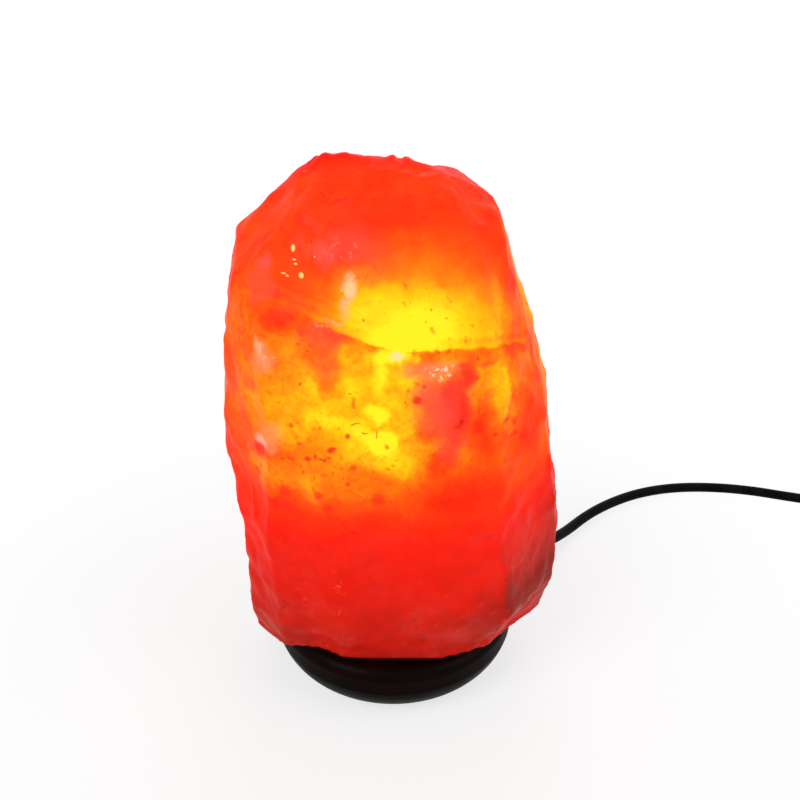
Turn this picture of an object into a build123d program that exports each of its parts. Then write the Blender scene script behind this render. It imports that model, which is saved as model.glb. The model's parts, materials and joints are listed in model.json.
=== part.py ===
from build123d import *
import os
from math import asin, cos, pi, radians, sin, sqrt, tan

# Salt crystal lamp. Millimetres, +Z up, the origin at the centre of the felt's resting face.
# -Y is the front. The rough crystal stands on a turned wooden base by its own weight.

# Wooden base
felt_thickness = 1.5
felt_inset = 2.0
base_height = 26.5
foot_radius = 48.0
base_radius = 58.0
top_radius = 54.0
belly_height = 14.5
rounding_start = 20.0
recess_radius = 30.0
recess_depth = 12.5
cover_radius = 40.0
cover_thickness = 2.0
cover_screw_circle = 35.0
cover_screw_count = 3
cover_screw_start = 60.0
cover_screw_length = 11.0
cover_screw_radius = 1.5
cover_screw_head = 2.9
cross_slot_width = 0.8

# Saddle that clamps the lead in the recess
saddle_x = 24.0
saddle_width = 7.0
saddle_thickness = 1.4
saddle_ear = 6.5
saddle_screw_length = 8.0
saddle_screw_radius = 1.2
saddle_screw_head = 2.2
saddle_screw_head_height = 1.6
saddle_screw_slot = 0.7

# Lead and its strain relief
cord_diameter = 6.0
exit_angle = 38.0
bush_seat = 54.5
bush_flange_radius = 6.5
bush_flange_thickness = 2.5
bush_shank_length = 12.0
bush_shank_radius = 4.4
bush_taper_length = 30.0
bush_root_radius = 5.3
bush_tip_radius = 3.9
bush_groove_count = 6
bush_groove_depth = 0.7
bush_groove_share = 0.3
bush_recess_clearance = 1.0
inner_cord_start = 16.0
wire_radius = 1.1
wire_spacing = 2.7
wire_bend = 5.0
wire_tight_bend = 2.6
wire_straight = 3.4

# Lampholder on its threaded nipple
nipple_radius = 5.0
nipple_bore = 3.9
nipple_engagement = 7.0
nipple_stand_out = 1.5
washer_radius = 9.5
washer_thickness = 1.0
nut_across_flats = 14.0
nut_thickness = 3.0
cap_radius = 13.0
cap_floor = 4.0
cap_chamber_height = 7.0
cap_chamber_radius = 8.9
cap_chamfer = 4.0
cap_rim_height = 3.0
holder_wall = 1.8
insert_radius = 9.4
insert_height = 7.0
sleeve_height = 27.0
sleeve_lip = 1.0
sleeve_clearance = 0.4
shell_radius = 7.2
shell_thickness = 0.4
shell_flange_bore = 5.0
shell_drop = 1.0
contact_thickness = 0.4
contact_rise = 2.6
strip_width = 8.0
strip_offset = 5.5
strip_tail = 2.0
tongue_width = 3.6
tongue_reach = 2.2
terminal_height = 5.0
terminal_screw_radius = 1.0
terminal_screw_head = 1.7
terminal_screw_head_height = 1.3
terminal_screw_slot = 0.5
terminal_screw_aside = 2.2

# Candle bulb
bulb_length = 97.0
bulb_radius = 17.5
bulb_cap_radius = 6.9
bulb_cap_height = 16.0
bulb_tip_radius = 2.4
bulb_tip_height = 1.4
bulb_insulator_height = 3.0
bulb_cap_wall = 0.3
bulb_cap_fold = 1.4
bulb_glass_seat = 5.0
bulb_point_radius = 1.7
bulb_point_height = 1.3
glass_wall = 0.8
glass_point_share = 1.3
stem_height = 16.0
stem_radius = 2.2
stem_pinch_radius = 3.0
support_foot = 1.6
filament_radius = 0.3
filament_span = 9.0
filament_lift = 3.5

# Salt crystal, and the bore drilled into it from below
rock_height = 214.0
rock_squareness = 2.7
step_face = 51.5
step_lean = 18.0
cavity_radius = 25.0
cavity_depth = 130.0
drill_point = 118.0

# In-line switch
switch_length = 64.0
switch_width = 28.0
switch_height = 17.0
switch_wall = 2.0
switch_corner = 6.0
switch_foot_round = 1.6
switch_top_round = 2.2
switch_screw_inset = 7.5
switch_screw_aside = 7.5
switch_screw_radius = 1.3
switch_screw_head = 2.4
switch_screw_head_height = 1.8
switch_screw_sink = 3.0
switch_screw_slot = 0.7
switch_boss_radius = 3.0
switch_stub = 9.0
switch_centre = (295.6, 54.3)
switch_heading = -79.0
rocker_radius = 7.5
rocker_width = 11.0
rocker_tilt = 12.0
rocker_edge_angle = 40.0
rocker_pin_radius = 1.2
rocker_pin_reach = 1.8
rocker_drop = 4.0
rocker_skirt = 2.6
rocker_dip = 1.5
cheek_thickness = 2.2
cheek_length = 9.0
socket_wall = 1.6
terminal_x = 9.5
terminal_y = 6.0
terminal_size = (8.0, 5.0, 5.0)
terminal_bore_drop = 0.2
terminal_hole_radius = 1.4
terminal_hole_depth = 3.2

# Flat two-pin plug
plug_width = 35.3
plug_thickness = 13.7
plug_length = 33.0
plug_shoulder = 10.0
plug_rear_half = 8.0
plug_waist = 13.9
plug_waist_at = 20.0
plug_face_round = 2.0
plug_edge_round = 1.5
plug_tail_length = 22.0
plug_tail_radius = 5.4
plug_tail_end_radius = 4.1
plug_tail_overlap = 4.0
plug_groove_count = 6
plug_groove_depth = 0.7
plug_groove_share = 0.35
plug_heading = 190.0
plug_tail_end = (256.0, -111.0)
pin_radius = 2.0
pin_core_radius = 1.5
pin_spacing = 18.6
pin_length = 19.0
pin_tip = 1.0
pin_sleeve_length = 10.0
pin_seat_depth = 12.0

# Put-away coil of the lead
coil_centre = (258.0, -42.0)
coil_outer = 45.3
coil_pitch = 6.6
coil_lower_half_turns = 6
coil_upper_half_turns = 5
coil_climb_in = 2.6

# Clearances
running = 0.05
slip = 0.1
body_gap = 0.3

# Heights worked out from the sizes above
z_foot = felt_thickness
z_top = z_foot + base_height
z_recess = z_foot + recess_depth
z_cover = z_foot + cover_thickness
cord_radius = cord_diameter / 2
z_cord = z_recess - cord_radius
z_nut = z_recess - washer_thickness - nut_thickness
z_nipple = z_nut - nipple_stand_out
z_cap = z_top + washer_thickness + nut_thickness
z_chamber = z_cap + cap_floor
z_insert = z_chamber + cap_chamber_height
z_rim = z_insert + cap_rim_height
z_shell = z_insert + insert_height
z_sleeve = z_rim + sleeve_height - cap_rim_height
z_contact = z_shell + contact_rise
z_terminal = z_chamber + terminal_height
bush_end = bush_seat + bush_flange_thickness + bush_taper_length
exit_turn = Rot(0, 0, exit_angle)

# Which face of a block or cylinder stands at its height: its foot, or its top
on_foot = (Align.CENTER, Align.CENTER, Align.MIN)
by_top = (Align.CENTER, Align.CENTER, Align.MAX)
# How far a cutting form runs past the faces that it opens
past = 1.0

parts = {}


def ring(outer, inner, low, high):
    """A plain ring or washer about Z, or a disc where inner is 0."""
    body = Pos(0, 0, low) * Cylinder(outer, high - low, align=on_foot)
    if inner > 0:
        body -= Pos(0, 0, low - past) * Cylinder(inner, high - low + 2 * past, align=on_foot)
    return body


def turned(lines):
    """A solid of revolution about Z from a closed outline in the XZ plane."""
    return revolve(make_face(lines), Axis.Z)


def outline(points):
    """A turned solid whose outline has straight sides only."""
    return revolve(make_face(Polyline(*[(r, 0, z) for r, z in points], close=True)), Axis.Z)


def rod(start, end, radius):
    """A straight round rod between two points."""
    line = Line(start, end)
    return sweep(Plane(origin=line @ 0, z_dir=line % 0) * Circle(radius), path=line)


def countersunk_screw(length, radius, head_radius):
    """A cross-head wood screw along +Z, its head's face at z = 0."""
    head = head_radius - radius
    body = outline([(0, 0), (head_radius, 0), (radius, head), (radius, length - 2 * radius), (0, length)])
    for turn in (0, 90):
        body -= Rot(0, 0, turn) * Box(2 * radius, cross_slot_width, head)
    return body


def screw_hole(length, radius, head_radius, clearance):
    """The hole that such a screw fills, with its countersink."""
    head = head_radius - radius
    wide = radius + clearance
    mouth = head_radius + clearance
    return outline([(0, -past), (mouth, -past), (mouth, 0), (wide, head),
                    (wide, length + clearance), (0, length + clearance)])


def on_circle(count, radius, start=0.0):
    """Places spread evenly round Z."""
    return [Rot(0, 0, start + 360 / count * k) * Pos(radius, 0, 0) for k in range(count)]


def rounded_path(points, name):
    """Straight runs joined by tangent arcs, each as large as its two runs allow."""
    spots = [Vector(*p) for p in points]
    radii = []
    for before, at, after in zip(spots, spots[1:], spots[2:]):
        into = at - before
        out = after - at
        half = radians(into.get_angle(out)) / 2
        radii.append(0.45 * min(into.length, out.length) / tan(half))
    print(name, "radii", [round(r, 1) for r in radii])
    return FilletPolyline(*spots, radius=radii)


def tube(path, radius, name):
    """A round tube along a path, its volume compared with section times length."""
    wire = Wire(path.edges()) if not isinstance(path, Wire) else path
    body = sweep(Plane(origin=wire @ 0, z_dir=wire % 0) * Circle(radius), path=wire)
    share = body.volume / (pi * radius**2 * wire.length)
    print(name, "length", round(wire.length, 1), "volume share", round(share, 4))
    return body


# ---------------------------------------------------------------- base

belly_z = z_foot + belly_height
shoulder_z = z_foot + rounding_start


def wood_profile():
    """The turned outside: a belly that rises from a small foot, and a rounded top edge."""
    mid_foot = (foot_radius + (base_radius - foot_radius) * sin(pi / 4), (z_foot + belly_z) / 2)
    edge_drop = z_top - shoulder_z
    edge_in = base_radius - top_radius
    mid_edge = (top_radius + edge_in * cos(pi / 4), shoulder_z + edge_drop * sin(pi / 4))
    foot = Line((0, 0, z_foot), (foot_radius, 0, z_foot))
    belly = ThreePointArc((foot_radius, 0, z_foot), (mid_foot[0], 0, mid_foot[1]), (base_radius, 0, belly_z))
    side = Line((base_radius, 0, belly_z), (base_radius, 0, shoulder_z))
    edge = ThreePointArc((base_radius, 0, shoulder_z), (mid_edge[0], 0, mid_edge[1]), (top_radius, 0, z_top))
    top = Line((top_radius, 0, z_top), (0, 0, z_top))
    return foot + belly + side + edge + top + Line((0, 0, z_top), (0, 0, z_foot))


ear_offset = cord_radius + saddle_thickness + saddle_ear / 2


def cover_screw_spots():
    spots = on_circle(cover_screw_count, cover_screw_circle, cover_screw_start)
    return [Pos(0, 0, z_foot) * spot for spot in spots]


def cover_screw_holes(body):
    for spot in cover_screw_spots():
        body -= spot * screw_hole(cover_screw_length, cover_screw_radius, cover_screw_head, running)
    return body


def wood_base():
    """The turned block with its wiring recess, the nipple's bore and the lead's way out."""
    body = turned(wood_profile())
    body -= ring(recess_radius, 0, z_foot - past, z_recess)
    body -= ring(cover_radius + slip, 0, z_foot - past, z_cover)
    body -= ring(nipple_radius + slip, 0, z_foot, z_top + past)
    along = Pos(0, 0, z_cord) * Rot(0, 90, 0)
    body -= along * ring(bush_shank_radius, 0, recess_radius - 5 * past, base_radius + past)
    body -= along * ring(bush_flange_radius + bush_recess_clearance, 0, bush_seat, base_radius + 5 * past)
    for side in (-1, 1):
        pilot = ring(saddle_screw_radius + running, 0, z_recess - past, z_recess + saddle_screw_length)
        body -= Pos(saddle_x, side * ear_offset, 0) * pilot
    return exit_turn * cover_screw_holes(body)


def base_cover():
    return exit_turn * cover_screw_holes(ring(cover_radius, 0, z_foot, z_cover))


def cover_screws():
    screw = countersunk_screw(cover_screw_length, cover_screw_radius, cover_screw_head)
    return [exit_turn * spot * screw for spot in cover_screw_spots()]


def cord_saddle():
    """A strap under the cord, its two ears screwed to the recess's ceiling."""
    bend = cord_radius + saddle_thickness
    hoop = ring(bend, cord_radius + running, -saddle_width / 2, saddle_width / 2)
    hoop -= Pos(-bend, 0, 0) * Box(2 * bend, 4 * bend, 2 * saddle_width)
    strap = Pos(saddle_x, 0, z_cord) * Rot(0, 90, 0) * hoop
    leg_height = z_recess - z_cord
    for side in (-1, 1):
        leg_y = side * (bend + cord_radius + running) / 2
        leg = Box(saddle_width, saddle_thickness - running, leg_height, align=on_foot)
        strap += Pos(saddle_x, leg_y, z_cord) * leg
        ear = Box(saddle_width, saddle_ear, saddle_thickness, align=by_top)
        strap += Pos(saddle_x, side * ear_offset, z_recess) * ear
        hole = ring(saddle_screw_radius + running, 0, z_recess - saddle_thickness - past, z_recess + past)
        strap -= Pos(saddle_x, side * ear_offset, 0) * hole
    return exit_turn * strap


def saddle_screws():
    head = saddle_screw_head_height
    point = head + saddle_screw_length
    screw = outline([(0, 0), (saddle_screw_head, 0), (saddle_screw_head, head), (saddle_screw_radius, head),
                     (saddle_screw_radius, point - 2 * saddle_screw_radius), (0, point)])
    screw -= Box(2 * saddle_screw_head, saddle_screw_slot, head)
    low = z_recess - saddle_thickness - head
    return [exit_turn * Pos(saddle_x, side * ear_offset, low) * screw for side in (-1, 1)]


def cord_bush():
    """Strain relief: a shank in the wood, a flange on its seat, and a grooved taper outside."""
    bore = cord_radius + running
    shank_start = bush_seat - bush_shank_length
    root = bush_seat + bush_flange_thickness
    shank = bush_shank_radius - running
    edge = [(bore, shank_start), (shank, shank_start), (shank, bush_seat),
            (bush_flange_radius, bush_seat), (bush_flange_radius, root)]
    step = bush_taper_length / (bush_groove_count + 1)
    groove = step * bush_groove_share
    for k in range(bush_groove_count + 1):
        start = root + k * step
        share = k / (bush_groove_count + 1)
        wide = bush_root_radius + (bush_tip_radius - bush_root_radius) * share
        edge += [(wide, start), (wide, start + step - groove)]
        if k < bush_groove_count:
            floor = max(wide - bush_groove_depth, (wide + bore) / 2)
            edge += [(floor, start + step - groove), (floor, start + step)]
    edge += [(edge[-1][0], bush_end), (bore, bush_end)]
    clean = [edge[0]] + [b for a, b in zip(edge, edge[1:]) if a != b]
    return exit_turn * Pos(0, 0, z_cord) * Rot(0, 90, 0) * outline(clean)


def inner_cord():
    return exit_turn * rod((inner_cord_start, 0, z_cord), (bush_end, 0, z_cord), cord_radius)


def holder_wire(side, name):
    """One insulated wire from the cord's end, under the nut, up the nipple and out to its terminal strip."""
    y = side * wire_spacing / 2
    low = z_nipple - wire_radius - (z_nipple - z_cover - 2 * wire_radius) / 4
    reach = -side * strip_offset
    drop = z_cord - low
    bend_x = inner_cord_start - wire_straight
    path = FilletPolyline((inner_cord_start, y, z_cord), (bend_x, y, z_cord), (bend_x - drop, y, low),
                          (0, y, low), (0, y, z_terminal), (reach, y, z_terminal),
                          radius=[wire_bend, wire_bend, wire_tight_bend, wire_tight_bend])
    return exit_turn * tube(path, wire_radius, name)


# ---------------------------------------------------------------- lampholder


def threaded_nipple():
    return ring(nipple_radius, nipple_bore, z_nipple, z_chamber + nipple_engagement - cap_floor)


def nut(low):
    hexagon = extrude(RegularPolygon(nut_across_flats / 2, 6, major_radius=False), nut_thickness)
    body = Pos(0, 0, low) * hexagon
    return body - ring(nipple_radius + running, 0, low - past, low + nut_thickness + past)


def nipple_nuts():
    return [exit_turn * nut(z_nut), exit_turn * nut(z_top + washer_thickness)]


def nipple_washers():
    bore = nipple_radius + slip
    return [ring(washer_radius, bore, z_recess - washer_thickness, z_recess),
            ring(washer_radius, bore, z_top, z_top + washer_thickness)]


def holder_cap():
    """The holder's lower cup, screwed onto the nipple."""
    body = outline([(0, z_cap), (cap_radius - cap_chamfer, z_cap), (cap_radius, z_cap + cap_chamfer),
                    (cap_radius, z_rim), (0, z_rim)])
    body -= ring(nipple_radius + running, 0, z_cap - past, z_chamber + past)
    body -= ring(cap_chamber_radius, 0, z_chamber, z_insert + past)
    body -= ring(cap_radius - holder_wall, 0, z_insert, z_rim + past)
    return body


def holder_sleeve():
    """The holder's upper sleeve: a spigot in the cap, a ledge over the insert, and the open mouth."""
    spigot = cap_radius - holder_wall - running
    seat = insert_radius + slip
    throat = shell_radius + shell_thickness + sleeve_clearance
    lip = sleeve_lip
    return outline([(seat, z_insert), (spigot, z_insert), (spigot, z_rim), (cap_radius, z_rim),
                    (cap_radius, z_sleeve - lip), (cap_radius - lip, z_sleeve), (throat, z_sleeve),
                    (throat, z_shell), (seat, z_shell)])


def strip_slot(side):
    wide = contact_thickness + 2 * running
    slot = Box(wide, strip_width + 2 * running, insert_height + 2 * past)
    return Pos(side * (strip_offset + contact_thickness / 2), 0, (z_insert + z_shell) / 2) * slot


def holder_insert():
    body = ring(insert_radius, 0, z_insert, z_shell)
    side_slot = strip_slot(1)
    centre_slot = strip_slot(-1)
    length = strip_offset + 2 * contact_thickness + 2 * running
    pocket = Box(length, strip_width + 2 * running, 2 * contact_thickness + 4 * running)
    return exit_turn * (body - side_slot - centre_slot - Pos(-strip_offset / 2, 0, z_shell) * pocket)


def screw_shell():
    """The brass shell that takes the bulb's cap, with an inward flange on the insert."""
    outer = shell_radius + shell_thickness
    body = ring(outer, shell_radius, z_shell, z_sleeve - shell_drop)
    return body + ring(outer, shell_flange_bore, z_shell, z_shell + shell_thickness)


def terminal_hole(side):
    x = side * (strip_offset + contact_thickness / 2)
    hole = Cylinder(terminal_screw_radius + running, 2 * past)
    return Pos(x, side * terminal_screw_aside, z_terminal) * Rot(0, 90, 0) * hole


def centre_contact():
    """Terminal strip, a foot across the insert, and a tongue that rises to the bulb's tip."""
    t = contact_thickness
    x = -strip_offset
    z = z_shell
    tip = z_contact
    low = z_terminal - strip_tail
    reach = tongue_reach
    heel = -reach + 3 * t
    knee = -reach - 2.5 * t
    edge = [(x - t, low), (x, low), (x, z - t), (heel, z - t), (knee, tip - 2 * t), (-reach, tip - t),
            (reach, tip - t), (reach, tip), (-reach - t / 2, tip), (knee - t, tip - t), (heel - 2 * t, z),
            (x - t, z)]
    shape = make_face(Polyline(*[(a, 0, b) for a, b in edge], close=True))
    tongue = extrude(shape, tongue_width / 2, both=True)
    strip = Pos(x - t / 2, 0, (low + z) / 2) * Box(t, strip_width, z - low)
    return exit_turn * (tongue + strip - terminal_hole(-1))


def side_contact():
    t = contact_thickness
    x = strip_offset + t / 2
    low = z_terminal - strip_tail
    strip = Pos(x, 0, (low + z_shell) / 2) * Box(t, strip_width, z_shell - low)
    return exit_turn * (strip - terminal_hole(1))


def terminal_screws():
    """Two small screws, each through its strip below the insert."""
    screws = []
    shank, head = terminal_screw_radius, terminal_screw_head
    face = contact_thickness + terminal_screw_head_height
    for side in (-1, 1):
        screw = outline([(0, -2 * shank), (shank, -2 * shank), (shank, contact_thickness),
                         (head, contact_thickness), (head, face), (0, face)])
        screw -= Pos(0, 0, face) * Box(2 * head, terminal_screw_slot, terminal_screw_head_height)
        place = Pos(side * strip_offset, side * terminal_screw_aside, z_terminal) * Rot(0, 90 * side, 0)
        screws.append(exit_turn * place * screw)
    return screws


# ---------------------------------------------------------------- bulb

z_tip = z_contact
z_bulb_cone = z_tip + bulb_tip_height
z_bulb_cap = z_bulb_cone + bulb_insulator_height
z_bulb_neck = z_bulb_cap + bulb_cap_height
z_bulb_top = z_tip + bulb_length
z_glass_seat = z_bulb_neck - bulb_glass_seat


def glass_curve(inset):
    """Candle shape from the neck to the top: a belly and a drawn tip, inset by the wall for the hollow."""
    neck = bulb_cap_radius - bulb_cap_wall - running - inset
    wide = bulb_radius - inset
    rise = z_bulb_top - z_bulb_neck
    low = z_bulb_neck + 1.5
    belly = z_bulb_neck + 0.35 * rise
    shoulder = z_bulb_neck + 0.76 * rise
    slim = 0.52 * bulb_radius - inset
    point = z_bulb_top - bulb_point_height - inset
    top = z_bulb_top - glass_point_share * inset
    tip = bulb_point_radius - inset / 2
    rounding = (tip**2 + (top - point)**2) / (2 * (top - point))
    half = asin(tip / rounding) / 2
    spots = [(neck, low), (neck + 0.62 * (wide - neck), low + 0.36 * (belly - low)), (wide, belly),
             (0.865 * bulb_radius - inset, (belly + shoulder) / 2 + 0.8), (slim, shoulder),
             (0.27 * bulb_radius - inset / 2, shoulder + 0.56 * (point - shoulder)), (tip, point),
             (rounding * sin(half), top - rounding * (1 - cos(half))), (0, top)]
    spots = [(r, 0, z) for r, z in spots]
    curve = Line((neck, 0, z_glass_seat), spots[0])
    for k in (0, 2, 4, 6):
        curve += ThreePointArc(*spots[k:k + 3])
    return curve


def bulb_glass():
    outer, inner = glass_curve(0), glass_curve(glass_wall)
    neck = bulb_cap_radius - bulb_cap_wall - running
    foot = Line((neck - glass_wall, 0, z_glass_seat), (neck, 0, z_glass_seat))
    tip = Line((0, 0, z_bulb_top), (0, 0, z_bulb_top - glass_point_share * glass_wall))
    return turned(outer + inner + foot + tip)


def bulb_cap():
    inner = bulb_cap_radius - bulb_cap_wall
    body = ring(bulb_cap_radius, inner, z_bulb_cap, z_bulb_neck)
    return body + ring(bulb_cap_radius, inner - bulb_cap_fold, z_bulb_cap, z_bulb_cap + bulb_cap_wall)


def bulb_insulator():
    over = bulb_cap_radius - bulb_cap_wall - running
    wide = over - bulb_cap_fold
    fold = z_bulb_cap + bulb_cap_wall
    inside = fold + bulb_cap_fold
    narrow = bulb_tip_radius + bulb_cap_wall
    return outline([(0, z_bulb_cone), (narrow, z_bulb_cone), (wide, z_bulb_cap - bulb_cap_wall),
                    (wide, fold), (over, fold), (over, inside), (0, inside)])


def bulb_tip():
    edge = 0.4 * bulb_tip_height
    return outline([(0, z_tip), (bulb_tip_radius - edge, z_tip), (bulb_tip_radius, z_tip + edge),
                    (bulb_tip_radius, z_bulb_cone), (0, z_bulb_cone)])


stem_top = z_bulb_neck + stem_height
z_filament = z_bulb_neck + 0.38 * (z_bulb_top - z_bulb_neck)


def bulb_stem():
    """The glass foot sealed into the neck, drawn up to a pinch that holds the two support wires."""
    flare = bulb_cap_radius - bulb_cap_wall - running - glass_wall
    middle = (stem_radius + stem_pinch_radius) / 2
    pinch = stem_top - 2 * stem_radius
    return outline([(0, z_glass_seat), (flare, z_glass_seat), (flare, z_glass_seat + glass_wall),
                    (middle, z_glass_seat + glass_wall + stem_pinch_radius), (stem_radius, pinch),
                    (stem_pinch_radius, (pinch + stem_top) / 2), (middle, stem_top), (0, stem_top)])


def bulb_supports():
    low = stem_top + filament_radius / 2
    return [rod((side * support_foot, 0, low), (side * filament_span, 0, z_filament), filament_radius)
            for side in (-1, 1)]


def bulb_filament():
    """A fine wire hung between the supports, zigzag over the span."""
    half = filament_span / 2
    z = z_filament + filament_radius
    high = z + filament_lift
    path = FilletPolyline((-filament_span, 0, z), (-half, 0, high), (0, 0, z), (half, 0, high),
                          (filament_span, 0, z), radius=filament_lift / 3)
    return tube(path, filament_radius, "filament")


# ---------------------------------------------------------------- salt crystal

# Each level of the rock: height above its foot, and its reach to the left, right, front and back.
rock_levels = [
    (0.0, 67.0, 73.0, 49.0, 45.0),
    (16.0, 69.5, 77.5, 54.0, 51.0),
    (36.0, 70.0, 79.0, 57.5, 55.0),
    (62.0, 71.0, 76.0, 60.0, 58.0),
    (92.0, 76.0, 71.0, 60.5, 58.5),
    (120.0, 73.5, 67.0, 59.0, 56.0),
    (146.0, 71.0, 59.0, 56.0, 52.0),
    (rock_height - 46.0, 67.5, 51.5, 50.5, 46.0),
    (rock_height - 30.0, 63.5, 46.5, 43.0, 39.0),
    (rock_height - 18.0, 50.0, 41.0, 33.0, 31.0),
    (rock_height - 8.0, 39.5, 27.0, 20.0, 24.0),
    (rock_height - 3.0, 31.5, 11.5, 9.0, 17.0),
    (rock_height, 28.0, 5.0, 3.0, 11.0),
]
# Directions of the rock's corners at every level, in degrees from +X.
rock_corners = [0, 23, 50, 74, 99, 128, 155, 180, 203, 230, 256, 279, 306, 335]
# Cleavage faces: a point on each (x, y, height above the rock's foot) and its outward direction.
cleavages = [
    ((61.0, -34.0, 60.0), (0.78, -0.62, 0.06)),
    ((57.0, -30.0, 128.0), (0.86, -0.44, 0.26)),
    ((66.0, -27.0, 18.0), (0.72, -0.60, -0.34)),
    ((-57.5, -37.5, 9.0), (-0.62, -0.66, -0.42)),
    ((-62.0, -34.0, 110.0), (-0.80, -0.60, 0.04)),
    ((-54.0, -12.0, rock_height - 27.0), (-0.66, -0.34, 0.67)),
    ((36.0, -8.0, rock_height - 17.0), (0.60, -0.32, 0.73)),
    ((-18.0, -5.5, rock_height - 1.6), (0.07, 0.23, 0.97)),
    ((8.0, -36.0, rock_height - 24.0), (0.10, -0.83, 0.55)),
    ((-30.0, -34.0, rock_height - 26.0), (-0.34, -0.80, 0.49)),
    ((50.0, 42.0, 100.0), (0.66, 0.74, 0.12)),
    ((-54.0, 42.0, 90.0), (-0.68, 0.73, 0.04)),
    ((6.0, 47.0, 160.0), (0.08, 0.93, 0.36)),
    ((20.0, 51.0, 22.0), (0.22, 0.92, -0.32)),
]
# The fracture step on the front: above this line (x, height above the foot) the face is set back.
step_line = [
    (-50.0, rock_height + 16.0),
    (-22.0, 168.0),
    (2.0, 152.0),
    (80.0, 154.0),
    (80.0, rock_height + 16.0),
]


def rock_ring(level):
    """One level's corners, on a squared ellipse between its four reaches."""
    height, left, right, front, back = level
    power = 2 / rock_squareness
    corners = []
    for angle in rock_corners:
        c, s = cos(radians(angle)), sin(radians(angle))
        x = (right if c > 0 else -left) * abs(c) ** power
        y = (back if s > 0 else -front) * abs(s) ** power
        corners.append((x, y, z_top + height))
    return corners


def flat(*points):
    return Face(Wire.make_polygon([Vector(*p) for p in points], close=True))


def rock_block():
    """The rock before cleaving: flat triangles from level to level, closed by its top and foot."""
    rings = [rock_ring(level) for level in rock_levels]
    count = len(rock_corners)
    faces = [flat(*rings[0]), flat(*rings[-1])]
    for n, (low, high) in enumerate(zip(rings, rings[1:])):
        for k in range(count):
            a, b = low[k], low[(k + 1) % count]
            c, d = high[(k + 1) % count], high[k]
            if (n + k) % 2:
                faces += [flat(a, b, c), flat(a, c, d)]
            else:
                faces += [flat(a, b, d), flat(b, c, d)]
    return Solid(Shell(faces))


def cleaved(body, point, outward):
    """Takes away what lies outside one cleavage face."""
    x, y, height = point
    plane = Plane(origin=(x, y, z_top + height), z_dir=outward)
    return body - plane * Box(2 * rock_height, 2 * rock_height, rock_height, align=on_foot)


def salt_crystal():
    body = rock_block()
    for point, outward in cleavages:
        body = cleaved(body, point, outward)
    pivot = step_line[2][1]
    line = Polyline(*[(x, 0, height - pivot) for x, height in step_line], close=True)
    step = extrude(make_face(line), amount=rock_height, dir=(0, -1, 0))
    body -= Pos(0, -step_face, z_top + pivot) * Rot(-step_lean, 0, 0) * step
    z_bore = z_top + cavity_depth
    point_height = cavity_radius / tan(radians(drill_point / 2))
    bore = outline([(0, z_top - past), (cavity_radius, z_top - past), (cavity_radius, z_bore),
                    (0, z_bore + point_height)])
    return body - bore


# ---------------------------------------------------------------- lead on the table

heading = Vector(cos(radians(switch_heading)), sin(radians(switch_heading)), 0)
switch_middle = Vector(switch_centre[0], switch_centre[1], 0)
z_split = switch_height / 2
switch_start = switch_middle - heading * (switch_length / 2) + Vector(0, 0, z_split)
switch_end = switch_middle + heading * (switch_length / 2) + Vector(0, 0, z_split)
exit_way = Vector(cos(radians(exit_angle)), sin(radians(exit_angle)), 0)
lead_start = exit_way * bush_end + Vector(0, 0, z_cord)
straight = 13.0

# Route of the lead from the strain relief to the switch, chosen along the photographed curve.
lead_points = [
    lead_start,
    lead_start + exit_way * straight,
    (91.2, 73.0, 6.6),
    (104.0, 88.2, 3.0),
    (118.6, 104.4, 3.0),
    (136.6, 118.8, 3.0),
    (157.4, 130.4, 3.0),
    (181.0, 137.0, 3.0),
    (206.0, 137.6, 3.0),
    (230.0, 133.8, 3.0),
    (252.0, 126.2, 3.0),
    (268.0, 119.5, 4.0),
    (280.0, 110.5, 6.2),
    switch_start - heading * straight,
    switch_start,
]

coil_entry = Vector(coil_centre[0] + coil_outer, coil_centre[1] + cord_diameter, cord_radius)
link_points = [
    switch_end,
    switch_end + heading * straight,
    (305.2, -6.0, 5.2),
    (303.3, -21.5, 3.0),
    coil_entry,
]


def coil_reach(k):
    """How far the coil's line stands from its centre after k half turns."""
    into = min(k, coil_lower_half_turns)
    out = max(0, k - coil_lower_half_turns - 1)
    drawn_in = coil_climb_in if k == coil_lower_half_turns + 1 else 0
    return coil_outer - (into - out) * coil_pitch / 2 - drawn_in


z_upper = cord_radius + coil_pitch
coil_turns = coil_lower_half_turns + 1 + coil_upper_half_turns
coil_exit = Vector(coil_centre[0] + coil_reach(coil_turns), coil_centre[1] - cord_diameter, z_upper)
plug_way = Vector(cos(radians(plug_heading)), sin(radians(plug_heading)), 0)
plug_entry = Vector(plug_tail_end[0], plug_tail_end[1], plug_thickness / 2)
tail_points = [
    coil_exit,
    coil_exit + Vector(0, -12, 0),
    (298.4, -76.0, 8.7),
    (291.8, -91.6, 7.7),
    (281.2, -101.6, 7.1),
    plug_entry - plug_way * 14,
    plug_entry,
]


def coil_path():
    """Half turns that spiral in on the table, climb while they reverse, and spiral out on top."""
    x0, y0 = coil_centre
    places = []
    for k in range(coil_turns + 1):
        side = 1 if k % 2 == 0 else -1
        z = cord_radius if k <= coil_lower_half_turns else z_upper
        places.append(Vector(x0 + side * coil_reach(k), y0, z))
    edges = [Line(coil_entry, places[0])]
    for k, (a, b) in enumerate(zip(places, places[1:])):
        middle = (a + b) / 2
        down = -1 if k % 2 == 0 else 1
        edges.append(ThreePointArc(a, middle + Vector(0, down * (b - a).length / 2, 0), b))
    edges.append(Line(places[-1], coil_exit))
    return Wire(edges)


def least_self_gap(wire, radius):
    """The tube's least gap to itself, on points along its line more than two diameters apart."""
    steps = int(wire.length / 3)
    spots = [wire @ (k / steps) for k in range(steps + 1)]
    skip = int(4 * radius * pi / 3)
    gaps = [(a - b).length for k, a in enumerate(spots) for b in spots[k + skip:]]
    return min(gaps) - 2 * radius


# ---------------------------------------------------------------- in-line switch

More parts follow.
